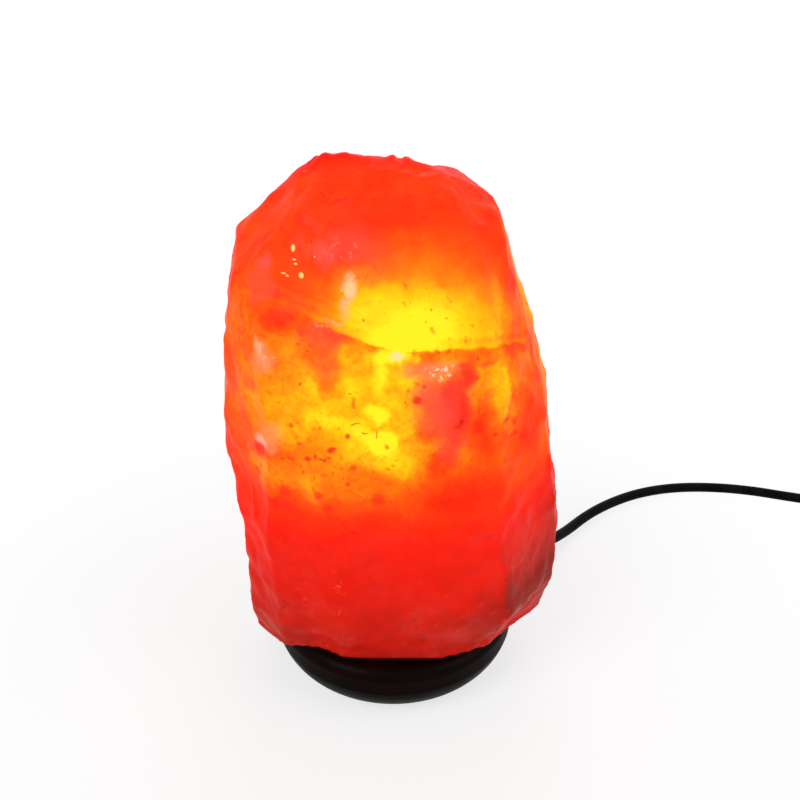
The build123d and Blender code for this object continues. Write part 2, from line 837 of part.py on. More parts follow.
switch_place = Pos(switch_middle.X, switch_middle.Y, 0) * Rot(0, 0, switch_heading)
z_pivot = switch_height - rocker_drop
window_half = rocker_radius + body_gap
cheek_inner = rocker_width / 2 + body_gap
switch_screw_spots = [Pos(side * (switch_length / 2 - switch_screw_inset), -side * switch_screw_aside, 0)
                      for side in (-1, 1)]
z_screw_end = switch_height - switch_wall - body_gap
z_terminal_bore = switch_wall + terminal_size[2] / 2 - terminal_bore_drop


def switch_half(low, high):
    """The outer form of the switch between two heights, its corners rounded."""
    plan = RectangleRounded(switch_length, switch_width, switch_corner)
    return Pos(0, 0, low) * extrude(plan, high - low)


def switch_hollow(low, high):
    length, width = switch_length - 2 * switch_wall, switch_width - 2 * switch_wall
    return Pos(0, 0, low) * extrude(RectangleRounded(length, width, switch_corner - switch_wall), high - low)


def cord_way():
    return Pos(0, 0, z_split) * Rot(0, 90, 0) * ring(cord_radius + running, 0, -switch_length, switch_length)


def switch_lower():
    body = switch_half(0, z_split)
    body = fillet(body.faces().sort_by(Axis.Z)[0].edges(), switch_foot_round)
    body -= switch_hollow(switch_wall, z_split + past)
    for spot in switch_screw_spots:
        body += spot * ring(switch_boss_radius, 0, switch_wall, z_split)
        body -= spot * ring(switch_screw_head + slip, 0, -past, switch_screw_sink)
        body -= spot * ring(switch_screw_radius + running, 0, -past, z_split + past)
    return switch_place * (body - cord_way())


def switch_upper():
    """The lid: window for the rocker, two cheeks with its pin's sockets, and bosses for the screws."""
    body = switch_half(z_split, switch_height)
    body = fillet(body.faces().sort_by(Axis.Z)[-1].edges(), switch_top_round)
    body -= switch_hollow(z_split - past, switch_height - switch_wall)
    body -= Pos(0, 0, switch_height) * Box(2 * window_half, 2 * cheek_inner, 4 * switch_wall)
    low = z_pivot - rocker_pin_radius - socket_wall
    for side in (-1, 1):
        wall = Box(cheek_length, cheek_thickness, switch_height - switch_wall / 2 - low, align=on_foot)
        body += Pos(0, side * (cheek_inner + cheek_thickness / 2), low) * wall
    for spot in switch_screw_spots:
        body += spot * ring(switch_boss_radius, 0, z_split, switch_height - switch_wall)
        body -= spot * ring(switch_screw_radius + running, 0, z_split - past, z_screw_end)
    socket = Cylinder(rocker_pin_radius + running, 2 * (cheek_inner + rocker_pin_reach + slip))
    body -= Pos(0, 0, z_pivot) * Rot(90, 0, 0) * socket
    return switch_place * (body - cord_way())


def switch_rocker():
    """A rocker with a hollow top, round ends about its pin, tipped to its lit position."""
    edge = radians(rocker_edge_angle)
    x, z = rocker_radius * cos(edge), rocker_radius * sin(edge)
    low = -rocker_skirt
    x_low = sqrt(rocker_radius**2 - low**2)
    dip = z - rocker_dip
    shape = Line((-x_low, 0, low), (x_low, 0, low))
    shape += ThreePointArc((x_low, 0, low), (rocker_radius, 0, 0), (x, 0, z))
    shape += ThreePointArc((x, 0, z), (0, 0, dip), (-x, 0, z))
    shape += ThreePointArc((-x, 0, z), (-rocker_radius, 0, 0), (-x_low, 0, low))
    body = extrude(make_face(shape), rocker_width / 2, both=True)
    pin = Rot(90, 0, 0) * Cylinder(rocker_pin_radius, 2 * (cheek_inner + rocker_pin_reach))
    return switch_place * Pos(0, 0, z_pivot) * Rot(0, rocker_tilt, 0) * (body + pin)


def switch_screws():
    head = switch_screw_head_height
    low = switch_screw_sink - head
    end = z_screw_end - body_gap - low
    screw = outline([(0, 0), (switch_screw_head, 0), (switch_screw_head, head), (switch_screw_radius, head),
                     (switch_screw_radius, end), (0, end)])
    screw -= Box(2 * switch_screw_head, switch_screw_slot, head)
    return [switch_place * spot * Pos(0, 0, low) * screw for spot in switch_screw_spots]


def switch_terminals():
    """Two brass blocks on the floor of the lower half, one each side of the rocker, for the switched wire."""
    length, width, height = terminal_size
    block = Pos(0, 0, switch_wall) * Box(length, width, height, align=on_foot)
    block -= Pos(0, 0, switch_wall + height) * Cylinder(terminal_hole_radius, 2 * terminal_hole_depth)
    block -= Pos(0, 0, z_terminal_bore) * Rot(0, 90, 0) * Cylinder(wire_radius + running, length + 2 * past)
    return [switch_place * Pos(side * terminal_x, terminal_y, 0) * block for side in (-1, 1)]


def switch_cord_ends():
    """The lead's sheath as far as it reaches into the switch, at both ends."""
    half = switch_length / 2
    stub = rod((half - switch_stub, 0, z_split), (half, 0, z_split), cord_radius)
    return [switch_place * Rot(0, 0, turn) * stub for turn in (180, 0)]


def switch_wires():
    """The neutral wire runs past the rocker, the live wire ends in a terminal on each side."""
    inner = switch_length / 2 - switch_stub
    near = wire_spacing / 2
    bend_x = inner - wire_tight_bend
    low_x = bend_x - wire_bend
    aside = window_half + wire_radius
    z_low = z_terminal_bore
    path = FilletPolyline((-inner, -near, z_split), (-bend_x, -near, z_split), (-low_x, -aside, z_low),
                          (low_x, -aside, z_low), (bend_x, -near, z_split), (inner, -near, z_split),
                          radius=wire_tight_bend)
    wires = [tube(path, wire_radius, "neutral through the switch")]
    for side in (-1, 1):
        end_x = terminal_x + terminal_size[0] / 2 - wire_tight_bend
        path = FilletPolyline((side * inner, near, z_split), (side * bend_x, near, z_split),
                              (side * low_x, terminal_y, z_low), (side * end_x, terminal_y, z_low),
                              radius=wire_tight_bend)
        wires.append(tube(path, wire_radius, "live in the switch"))
    return [switch_place * wire for wire in wires]


# ---------------------------------------------------------------- plug

# The plug lies flat with +X along its pins, its face at x = 0 before it is placed.
plug_face = plug_entry + plug_way * (plug_length + plug_tail_length)
plug_place = Pos(plug_face.X, plug_face.Y, plug_thickness / 2) * Rot(0, 0, plug_heading)


def plug_body():
    """A flat body that narrows to the rear, with a grooved round tail for the lead."""
    half = plug_width / 2
    rear = plug_rear_half
    end = plug_length - past
    soft = plug_face_round
    bulge = soft * (1 - sin(pi / 4))
    shape = Line((0, -half + soft), (0, half - soft))
    for side in (1, -1):
        wide, waist = side * half, side * plug_waist
        shape += ThreePointArc((0, wide - side * soft), (-bulge, wide - side * bulge), (-soft, wide))
        shape += Line((-soft, wide), (-plug_shoulder, wide))
        shape += ThreePointArc((-plug_shoulder, wide), (-plug_waist_at, waist), (-end, side * rear))
    shape += Line((-end, rear), (-end, -rear))
    body = extrude(make_face(shape), plug_thickness / 2, both=True)
    levels = body.faces().sort_by(Axis.Z)
    body = fillet(levels[-1].edges() + levels[0].edges(), plug_edge_round)
    body += Pos(-plug_length, 0, 0) * Rot(0, -90, 0) * plug_tail()
    for side in (-1, 1):
        seat = Rot(0, 90, 0) * ring(pin_core_radius + running, 0, -pin_seat_depth, past)
        body -= Pos(0, side * pin_spacing / 2, 0) * seat
    return plug_place * body


def plug_tail():
    """Rings that lessen towards the lead, on a root inside the plug's body."""
    step = plug_tail_length / plug_groove_count
    land = step * (1 - plug_groove_share)
    rings = [(0, -plug_tail_overlap), (plug_tail_radius, -plug_tail_overlap)]
    for k in range(plug_groove_count):
        wide = plug_tail_radius - (plug_tail_radius - plug_tail_end_radius) * k / (plug_groove_count - 1)
        floor = wide - plug_groove_depth
        low = k * step
        rings += [(wide, low), (wide, low + land), (floor, low + land), (floor, low + step)]
    return outline(rings[:2] + rings[3:] + [(0, plug_tail_length)])


def plug_pins():
    slim = pin_core_radius
    pin = outline([(0, -pin_seat_depth), (slim, -pin_seat_depth), (slim, pin_sleeve_length),
                   (pin_radius, pin_sleeve_length), (pin_radius, pin_length - pin_tip),
                   (pin_radius - pin_tip, pin_length), (0, pin_length)])
    return [plug_place * Pos(0, side * pin_spacing / 2, 0) * Rot(0, 90, 0) * pin for side in (-1, 1)]


def pin_sleeves():
    """Insulating sleeves on the pins' slimmer roots, flush with the bare ends."""
    sleeve = ring(pin_radius, pin_core_radius + running, 0, pin_sleeve_length)
    return [plug_place * Pos(0, side * pin_spacing / 2, 0) * Rot(0, 90, 0) * sleeve for side in (-1, 1)]


# ---------------------------------------------------------------- all pieces

coil_wire = coil_path()
parts["felt_pad"] = ring(foot_radius - felt_inset, 0, 0, z_foot)
parts["wood_base"] = wood_base()
parts["base_cover"] = base_cover()
parts["cover_screws"] = cover_screws()
parts["cord_saddle"] = cord_saddle()
parts["saddle_screws"] = saddle_screws()
parts["cord_bush"] = cord_bush()
parts["inner_cord"] = inner_cord()
parts["live_wire"] = holder_wire(1, "live_wire")
parts["neutral_wire"] = holder_wire(-1, "neutral_wire")
parts["threaded_nipple"] = threaded_nipple()
parts["nipple_nuts"] = nipple_nuts()
parts["nipple_washers"] = nipple_washers()
parts["holder_cap"] = holder_cap()
parts["holder_insert"] = holder_insert()
parts["holder_sleeve"] = holder_sleeve()
parts["screw_shell"] = screw_shell()
parts["centre_contact"] = centre_contact()
parts["side_contact"] = side_contact()
parts["terminal_screws"] = terminal_screws()
parts["bulb_glass"] = bulb_glass()
parts["bulb_cap"] = bulb_cap()
parts["bulb_insulator"] = bulb_insulator()
parts["bulb_tip"] = bulb_tip()
parts["bulb_stem"] = bulb_stem()
parts["bulb_supports"] = bulb_supports()
parts["bulb_filament"] = bulb_filament()
parts["salt_crystal"] = salt_crystal()
parts["cord_lead"] = tube(rounded_path(lead_points, "cord_lead"), cord_radius, "cord_lead")
parts["cord_link"] = tube(rounded_path(link_points, "cord_link"), cord_radius, "cord_link")
parts["cord_coil"] = tube(coil_wire, cord_radius, "cord_coil")
parts["cord_tail"] = tube(rounded_path(tail_points, "cord_tail"), cord_radius, "cord_tail")
parts["switch_lower"] = switch_lower()
parts["switch_upper"] = switch_upper()
parts["switch_rocker"] = switch_rocker()
parts["switch_screws"] = switch_screws()
parts["switch_terminals"] = switch_terminals()
parts["switch_cord_ends"] = switch_cord_ends()
parts["switch_wires"] = switch_wires()
parts["plug_body"] = plug_body()
parts["plug_pins"] = plug_pins()
parts["pin_sleeves"] = pin_sleeves()
print("coil least gap to itself", round(least_self_gap(coil_wire, cord_radius), 2))

os.makedirs("parts", exist_ok=True)
for name, shape in parts.items():
    whole = Compound(children=shape) if isinstance(shape, list) else shape
    export_step(whole, f"parts/{name}.step")
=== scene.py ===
import json
import math

import bmesh
import bpy
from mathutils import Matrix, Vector, noise


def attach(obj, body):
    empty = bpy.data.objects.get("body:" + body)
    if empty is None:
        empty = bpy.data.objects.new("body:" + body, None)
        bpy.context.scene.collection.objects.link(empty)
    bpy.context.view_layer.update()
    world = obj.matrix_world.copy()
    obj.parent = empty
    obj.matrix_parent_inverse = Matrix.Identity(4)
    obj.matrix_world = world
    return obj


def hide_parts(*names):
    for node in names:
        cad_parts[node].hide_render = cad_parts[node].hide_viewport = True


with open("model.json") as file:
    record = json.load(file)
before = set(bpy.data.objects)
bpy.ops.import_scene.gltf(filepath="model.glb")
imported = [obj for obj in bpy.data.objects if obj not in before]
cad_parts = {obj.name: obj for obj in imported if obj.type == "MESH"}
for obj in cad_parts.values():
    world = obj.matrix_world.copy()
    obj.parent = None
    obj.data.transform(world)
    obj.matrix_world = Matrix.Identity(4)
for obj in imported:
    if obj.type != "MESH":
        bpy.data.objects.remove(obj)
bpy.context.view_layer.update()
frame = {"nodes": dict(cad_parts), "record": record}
nodes = frame["nodes"]


def addObject(name, data):
    thing = bpy.data.objects.new(name, data)
    bpy.context.scene.collection.objects.link(thing)
    return thing


# Camera: level left to right, looking down at the lamp from the front

cameraView = {
    "place": (0.0031, -0.3425, 0.3006),
    "lookDown": 26.0,
    "lens": 38.61,
    "sensor": 36.0,
}


def makeCamera(view):
    data = bpy.data.cameras.new("frontCamera")
    data.lens = view["lens"]
    data.sensor_width = view["sensor"]
    camera = addObject("frontCamera", data)
    camera.location = view["place"]
    camera.rotation_euler = (math.radians(90 - view["lookDown"]), 0, 0)
    bpy.context.scene.camera = camera


makeCamera(cameraView)
print("camera placed")


# Lead: from the strain relief to the switch, and from the switch over the coil to the plug

leadShape = {
    "diameter": 0.006,
    "baseExit": (0.06856, 0.05356, 0.011),
    "switchCentre": (0.2956, 0.0543),
    "switchHeading": -79.0,
    "switchLength": 0.064,
    "switchStub": 0.009,
    "switchApproach": 0.013,
    "switchAxisHeight": 0.0085,
    "coilCentre": (0.258, -0.042),
    "coilOuter": 0.0453,
    "coilPitch": 0.0066,
    "coilClimbIn": 0.0026,
    "lowerHalfTurns": 6,
    "upperHalfTurns": 5,
    "pointsPerHalfTurn": 8,
    "stepsAlong": 6,
    "stepsAround": 5,
}

# Control points of the three stretches, in millimetres
leadRoute = [
    (68.56, 53.56, 11), (78.8, 61.57, 11), (91.2, 73, 6.6), (104, 88.2, 3), (118.6, 104.4, 3),
    (136.6, 118.8, 3), (157.4, 130.4, 3), (181, 137, 3), (206, 137.6, 3), (230, 133.8, 3),
    (252, 126.2, 3), (268, 119.5, 4), (280, 110.5, 6.2),
]
linkRoute = [
    (305.2, -6, 5.2), (303.3, -21.5, 3), (303.3, -36, 3),
]
tailRoute = [
    (300, -48, 9.6), (300, -60, 9.6), (298.4, -76, 8.7), (291.8, -91.6, 7.7), (281.2, -101.6, 7.1),
    (269.79, -108.57, 6.85), (256, -111, 6.85),
]


def metres(millimetres):
    return tuple(value / 1000 for value in millimetres)


# A point at the height of the switch's axis, measured from its centre towards the plug and to its right
def bySwitch(along, across=0.0):
    heading = math.radians(leadShape["switchHeading"])
    x, y = leadShape["switchCentre"]
    x += along * math.cos(heading) - across * math.sin(heading)
    y += along * math.sin(heading) + across * math.cos(heading)
    return (x, y, leadShape["switchAxisHeight"])


# Distance from the coil's middle to where half turn k begins
def coilReach(shape, k):
    lower = shape["lowerHalfTurns"]
    steps = min(k, lower) - max(0, k - lower - 1)
    drawnIn = shape["coilClimbIn"] if k == lower + 1 else 0
    return shape["coilOuter"] - steps * shape["coilPitch"] / 2 - drawnIn


# Control points of the coil: half turns that spiral in, climb a layer, and spiral out
def coilRoute(shape):
    points = []
    x0, y0 = shape["coilCentre"]
    lower = shape["lowerHalfTurns"]
    low = shape["diameter"] / 2
    high = low + shape["coilPitch"]
    count = shape["pointsPerHalfTurn"]
    outward = 1 / math.cos(math.pi / count / 2)
    for k in range(lower + 1 + shape["upperHalfTurns"]):
        side = 1 if k % 2 == 0 else -1
        start = x0 + side * coilReach(shape, k)
        end = x0 - side * coilReach(shape, k + 1)
        centre = (start + end) / 2
        radius = abs(end - start) / 2 * outward
        for n in range(count):
            share = (n + 0.5) / count
            angle = math.pi * share
            height = low if k < lower else high
            if k == lower:
                height = low + (high - low) * share
            across = side * math.cos(angle) * radius
            along = -side * math.sin(angle) * radius
            points.append((centre + across, y0 + along, height))
    return points


def makeCord(name, points):
    curve = bpy.data.curves.new(name, "CURVE")
    curve.dimensions = "3D"
    curve.resolution_u = leadShape["stepsAlong"]
    curve.bevel_depth = leadShape["diameter"] / 2
    curve.bevel_resolution = leadShape["stepsAround"]
    curve.use_fill_caps = True
    spline = curve.splines.new("NURBS")
    spline.points.add(len(points) - 1)
    for point, place in zip(spline.points, points):
        point.co = (*place, 1)
    spline.order_u = 3
    spline.use_endpoint_u = True
    return addObject(name, curve)


half = leadShape["switchLength"] / 2
inside = half - leadShape["switchStub"]
outside = half + leadShape["switchApproach"]
leadPoints = [metres(point) for point in leadRoute]
leadPoints += [bySwitch(-outside), bySwitch(-half), bySwitch(-inside)]
mainPoints = [bySwitch(inside), bySwitch(half), bySwitch(outside)]
mainPoints += [metres(point) for point in linkRoute] + coilRoute(leadShape)
mainPoints += [metres(point) for point in tailRoute]
leadCord = makeCord("leadToSwitch", leadPoints)
mainCord = makeCord("leadToPlug", mainPoints)
print("lead laid")


# Small tools for node trees: a value is a constant, or a socket of the tree that the new node joins


def isSocket(value):
    return isinstance(value, bpy.types.NodeSocket)


# Links or sets an input; a constant colour comes without its alpha
def give(socket, value):
    if isSocket(value):
        socket.id_data.links.new(value, socket)
    else:
        socket.default_value = (*value, 1) if socket.type == "RGBA" else value


# The tree is named only for a node that no socket leads to
def addNode(kind, inputs={}, tree=None, **settings):
    if tree is None:
        tree = next(value for value in inputs.values() if isSocket(value)).id_data
    node = tree.nodes.new(kind)
    for key, value in settings.items():
        setattr(node, key, value)
    for key, value in inputs.items():
        give(node.inputs[key], value)
    return node


def maths(operation, *values):
    total = values[0]
    for value in values[1:]:
        total = addNode("ShaderNodeMath", {0: total, 1: value}, operation=operation).outputs[0]
    return total


def plus(*values):
    return maths("ADD", *values)


def minus(*values):
    return maths("SUBTRACT", *values)


def times(*values):
    return maths("MULTIPLY", *values)


def vectorMaths(operation, first, second=(0, 0, 0)):
    node = addNode("ShaderNodeVectorMath", {0: first, 1: second}, operation=operation)
    return node.outputs["Value" if operation in ("LENGTH", "DOT_PRODUCT") else "Vector"]


def mixColour(share, first, second):
    node = addNode("ShaderNodeMix", tree=share.id_data, data_type="RGBA")
    sockets = {s.identifier: s for s in (*node.inputs, *node.outputs)}
    for key, value in (("Factor_Float", share), ("A_Color", first), ("B_Color", second)):
        give(sockets[key], value)
    return sockets["Result_Color"]


def mapRange(value, low, high, toLow=0.0, toHigh=1.0, kind="LINEAR"):
    inputs = {"Value": value, "From Min": low, "From Max": high, "To Min": toLow, "To Max": toHigh}
    return addNode("ShaderNodeMapRange", inputs, interpolation_type=kind).outputs["Result"]


def ease(value, low, high, toLow=0.0, toHigh=1.0):
    return mapRange(value, low, high, toLow, toHigh, "SMOOTHSTEP")


# From one number to another as a mask goes from 0 to 1
def between(mask, low, high):
    return mapRange(mask, 0.0, 1.0, low, high)


def noiseAt(vector, scale, detail, roughness=0.5):
    inputs = {"Vector": vector, "Scale": scale, "Detail": detail, "Roughness": roughness}
    return addNode("ShaderNodeTexNoise", inputs).outputs


def colourRamp(value, stops):
    node = addNode("ShaderNodeValToRGB", {"Fac": value})
    elements = node.color_ramp.elements
    while len(elements) < len(stops):
        elements.new(1.0)
    for element, (position, colour) in zip(elements, stops):
        element.position = position
        element.color = (*colour, 1)
    return node.outputs["Color"]


# A tree whose sockets are listed by their kind
def newTree(kind, name, inputs, outputs):
    tree = bpy.data.node_groups.new(name, kind)
    for way, sockets in (("INPUT", inputs), ("OUTPUT", outputs)):
        for sort, labels in sockets.items():
            for label in labels:
                tree.interface.new_socket(name=label, in_out=way, socket_type="NodeSocket" + sort)
    return tree, tree.nodes.new("NodeGroupInput").outputs, tree.nodes.new("NodeGroupOutput").inputs


def newMaterial(name):
    material = bpy.data.materials.new(name)
    material.use_nodes = True
    return material, addNode("ShaderNodeTexCoord", tree=material.node_tree).outputs["Object"]


def fillShader(material, inputs):
    for key, value in inputs.items():
        give(material.node_tree.nodes["Principled BSDF"].inputs[key], value)


# Shader groups shared by several materials


# Noise stretched between two limits
def makeCloudGroup():
    inputs = {"Vector": ["Vector"], "Float": ["Scale", "Detail", "Low", "High"]}
    tree, enter, leave = newTree("ShaderNodeTree", "cloud", inputs, {"Float": ["Mask"]})
    texture = noiseAt(enter["Vector"], enter["Scale"], enter["Detail"], 0.6)
    give(leave["Mask"], ease(texture["Fac"], enter["Low"], enter["High"]))
    return tree


# A soft ellipsoid about a place: 1 inside, fading to 0 at its edge
def makePatchGroup():
    inputs = {"Vector": ["Vector", "Centre", "Reach"], "Float": ["Core"]}
    tree, enter, leave = newTree("ShaderNodeTree", "patch", inputs, {"Float": ["Mask"]})
    offset = vectorMaths("SUBTRACT", enter["Vector"], enter["Centre"])
    length = vectorMaths("LENGTH", vectorMaths("DIVIDE", offset, enter["Reach"]))
    give(leave["Mask"], ease(length, enter["Core"], 1.0, 1, 0))
    return tree


# Fine and coarse unevenness as a normal
def makeReliefGroup():
    inputs = {"Vector": ["Vector"], "Float": ["Scale", "Fine", "Strength", "Depth"]}
    tree, enter, leave = newTree("ShaderNodeTree", "relief", inputs, {"Vector": ["Normal"]})
    coarse = noiseAt(enter["Vector"], enter["Scale"], 5.0)["Fac"]
    fine = noiseAt(enter["Vector"], enter["Fine"], 2.0)["Fac"]
    height = plus(coarse, times(fine, 0.35))
    bump = {"Height": height, "Strength": enter["Strength"], "Distance": enter["Depth"]}
    give(leave["Normal"], addNode("ShaderNodeBump", bump).outputs["Normal"])
    return tree


cloudGroup = makeCloudGroup()
patchGroup = makePatchGroup()
reliefGroup = makeReliefGroup()


# The output of a group whose inputs are given in their order
def useGroup(group, *values):
    return addNode("ShaderNodeGroup", dict(enumerate(values)), node_tree=group).outputs[0]


def cloud(vector, scale, detail, low, high):
    return useGroup(cloudGroup, vector, scale, detail, low, high)


# Centre and reach are in millimetres
def patch(vector, centre, reach, core):
    return useGroup(patchGroup, vector, metres(centre), metres(reach), core)


def relief(vector, scale, fine, strength, depth):
    return useGroup(reliefGroup, vector, scale, fine, strength, depth)


print("shader groups built")


# Salt crystal: the plain block, roughened, chipped and lit from inside

saltShape = {
    "voxel": 0.0014,
    "weld": 1e-6,
    # where the shaping sets in: distances from the bore's axis, the bore's top, heights at the foot
    "boreFade": (0.026, 0.029),
    "boreTop": 0.175,
    "footFade": (0.0284, 0.032),
    # height and size of each unevenness, with the roughness, gap and octaves of its fractal
    "undulation": (0.0008, 0.034, (0.7, 2.0, 3)),
    "ripple": (0.00024, 0.0050, (0.8, 2.0, 3)),
    "jag": (0.0005, 0.006, (0.6, 2.2, 3)),
    "chips": (0.0008, 0.019),
    "chipLean": 1.6,
    "chipSink": 0.25,
    "chipBorder": 0.22,
    "chipTurn": 3.7,
    "chipSeed": 1,
    "knobs": (0.0006, 0.0085),
    "settle": 0.0006,
    "crestFade": (0.234, 0.238),
    # how much chips, undulation and ripple dim or brighten the light
    "hollowShares": (0.6, 0.8, 0.5),
    "hollowShare": 0.03,
    # the top's facets that face up and back: their painted shade, and where it sets in
    "shadedTop": 0.15,
    "upFade": (0.62, 0.95),
    "highFade": (0.205, 0.225),
    "rearFade": (-0.014, 0.0),
    # how whole neighbourhoods move, in millimetres: place, reach, way
    "shifts": [
        ((-59.7, -30.7, 36.6), 13, (-1.4, -1.2, 0)), ((-60, -34, 112), 18, (2.2, 0.6, 0)),
        ((-36, -47, 28), 12, (0.8, 3.4, 0)), ((-44, -6, 227), 7, (1, 0, -1.4)),
        ((-54, -6, 216.5), 6, (-1.2, 0, 0.6)), ((41, -14, 218), 8, (1.2, 0, 1.6)),
        ((47, -44, 28), 13, (-0.6, 3.6, 0)), ((58, -30, 30), 12, (-1.6, 1, 0)),
    ],
    # lumps on the crest, in millimetres: place across and along, radius, height
    "lumps": [
        (-26.2, -4, 3, 1.2), (-19, -4, 5.5, 1), (-8, -4, 8, 0.7), (0.4, -5, 1.9, 1.4), (5.6, -5, 2.4, 1.3),
        (12, -7, 5, 0.4), (3, -6, 1.2, -1.2), (-22.6, -4, 1.2, -0.7), (-32.5, -4, 3.8, -1.8),
        (24, -6, 6, -0.6),
    ],
}


# The evaluated shape of an object as a plain mesh object, in place of the object
def meshFrom(source, name):
    graph = bpy.context.evaluated_depsgraph_get()
    mesh = bpy.data.meshes.new_from_object(source.evaluated_get(graph))
    mesh.name = name
    bpy.data.objects.remove(source)
    return addObject(name, mesh)


# A copy of a node with its loose triangles joined
def mergedCopy(source, name, distance):
    mesh = source.data.copy()
    mesh.name = name
    work = bmesh.new()
    work.from_mesh(mesh)
    bmesh.ops.remove_doubles(work, verts=work.verts, dist=distance)
    work.to_mesh(mesh)
    work.free()
    return addObject(name, mesh)


def remeshed(source, name, voxel):
    modifier = source.modifiers.new("voxels", "REMESH")
    modifier.mode = "VOXEL"
    modifier.voxel_size = voxel
    return meshFrom(source, name)


def smoothStep(value, low, high):
    share = min(max((value - low) / (high - low), 0.0), 1.0)
    return share * share * (3 - 2 * share)


# Flat facets: each cell of a scatter tilts its own way, by the seed, and the offset fades at its borders
def chipAt(place, shape):
    place = place / shape["chips"][1]
    distances, cells = noise.voronoi(place)
    lean = noise.noise_vector(cells[0] * shape["chipTurn"]).dot(place - cells[0])
    border = smoothStep(distances[1] - distances[0], 0.0, shape["chipBorder"])
    return (lean * shape["chipLean"] - shape["chipSink"]) * border


def fractalAt(place, row):
    return noise.fractal(place / row[1], *row[2])


def shiftAt(place, shifts):
    total = Vector((0, 0, 0))
    for centre, reach, way in shifts:
        away = (place - centre).length / reach
        total += way * math.exp(-away * away)
    return total


def liftAt(place, lumps):
    total = 0.0
    for x, y, spread, height in lumps:
        total += height * math.exp(-((place.x - x) ** 2 + (place.y - y) ** 2) / spread ** 2)
    return total


def shapeSalt(rock, shape):
    mesh = rock.data
    normals = [v.normal.copy() for v in mesh.vertices]
    shifts = [(Vector(metres(c)), reach / 1000, Vector(metres(way))) for c, reach, way in shape["shifts"]]
    lumps = [metres(row) for row in shape["lumps"]]
    values = []
    noise.seed_set(shape["chipSeed"])
    for vertex, normal in zip(mesh.vertices, normals):
        place = vertex.co.copy()
        outer = smoothStep(place.z, *shape["footFade"])
        if place.z <= shape["boreTop"]:
            outer *= smoothStep(math.hypot(place.x, place.y), *shape["boreFade"])
        crest = smoothStep(place.z, *shape["crestFade"])
        broad, ripple, jag = (fractalAt(place, shape[key]) for key in ("undulation", "ripple", "jag"))
        chip = chipAt(place, shape)
        knob = noise.noise(place / shape["knobs"][1])
        offset = shape["undulation"][0] * broad + shape["chips"][0] * chip + shape["ripple"][0] * ripple
        offset += jag * shape["jag"][0] * crest + shape["knobs"][0] * knob - shape["settle"] * (1 - crest)
        vertex.co = place + normal * offset * outer + shiftAt(place, shifts)
        if crest > 0 and normal.z > 0:
            vertex.co.z += liftAt(place, lumps) * crest
        # painted shade on the top facets that face up and back, stored with the glow's change over hollows
        # and bumps in the thickness attribute
        facing = smoothStep(normal.z, *shape["upFade"]) * smoothStep(place.z, *shape["highFade"])
        facing *= smoothStep(place.y, *shape["rearFade"])
        bumps = sum(share * value for share, value in zip(shape["hollowShares"], (chip, broad, ripple)))
        values.append(-bumps * outer * shape["hollowShare"] - shape["shadedTop"] * facing)
    mesh.attributes.new("thickness", "FLOAT", "POINT").data.foreach_set("value", values)
    mesh.update()
    for polygon in mesh.polygons:
        polygon.use_smooth = True


# Places, reaches and heights in the rows of the next three tables are in millimetres

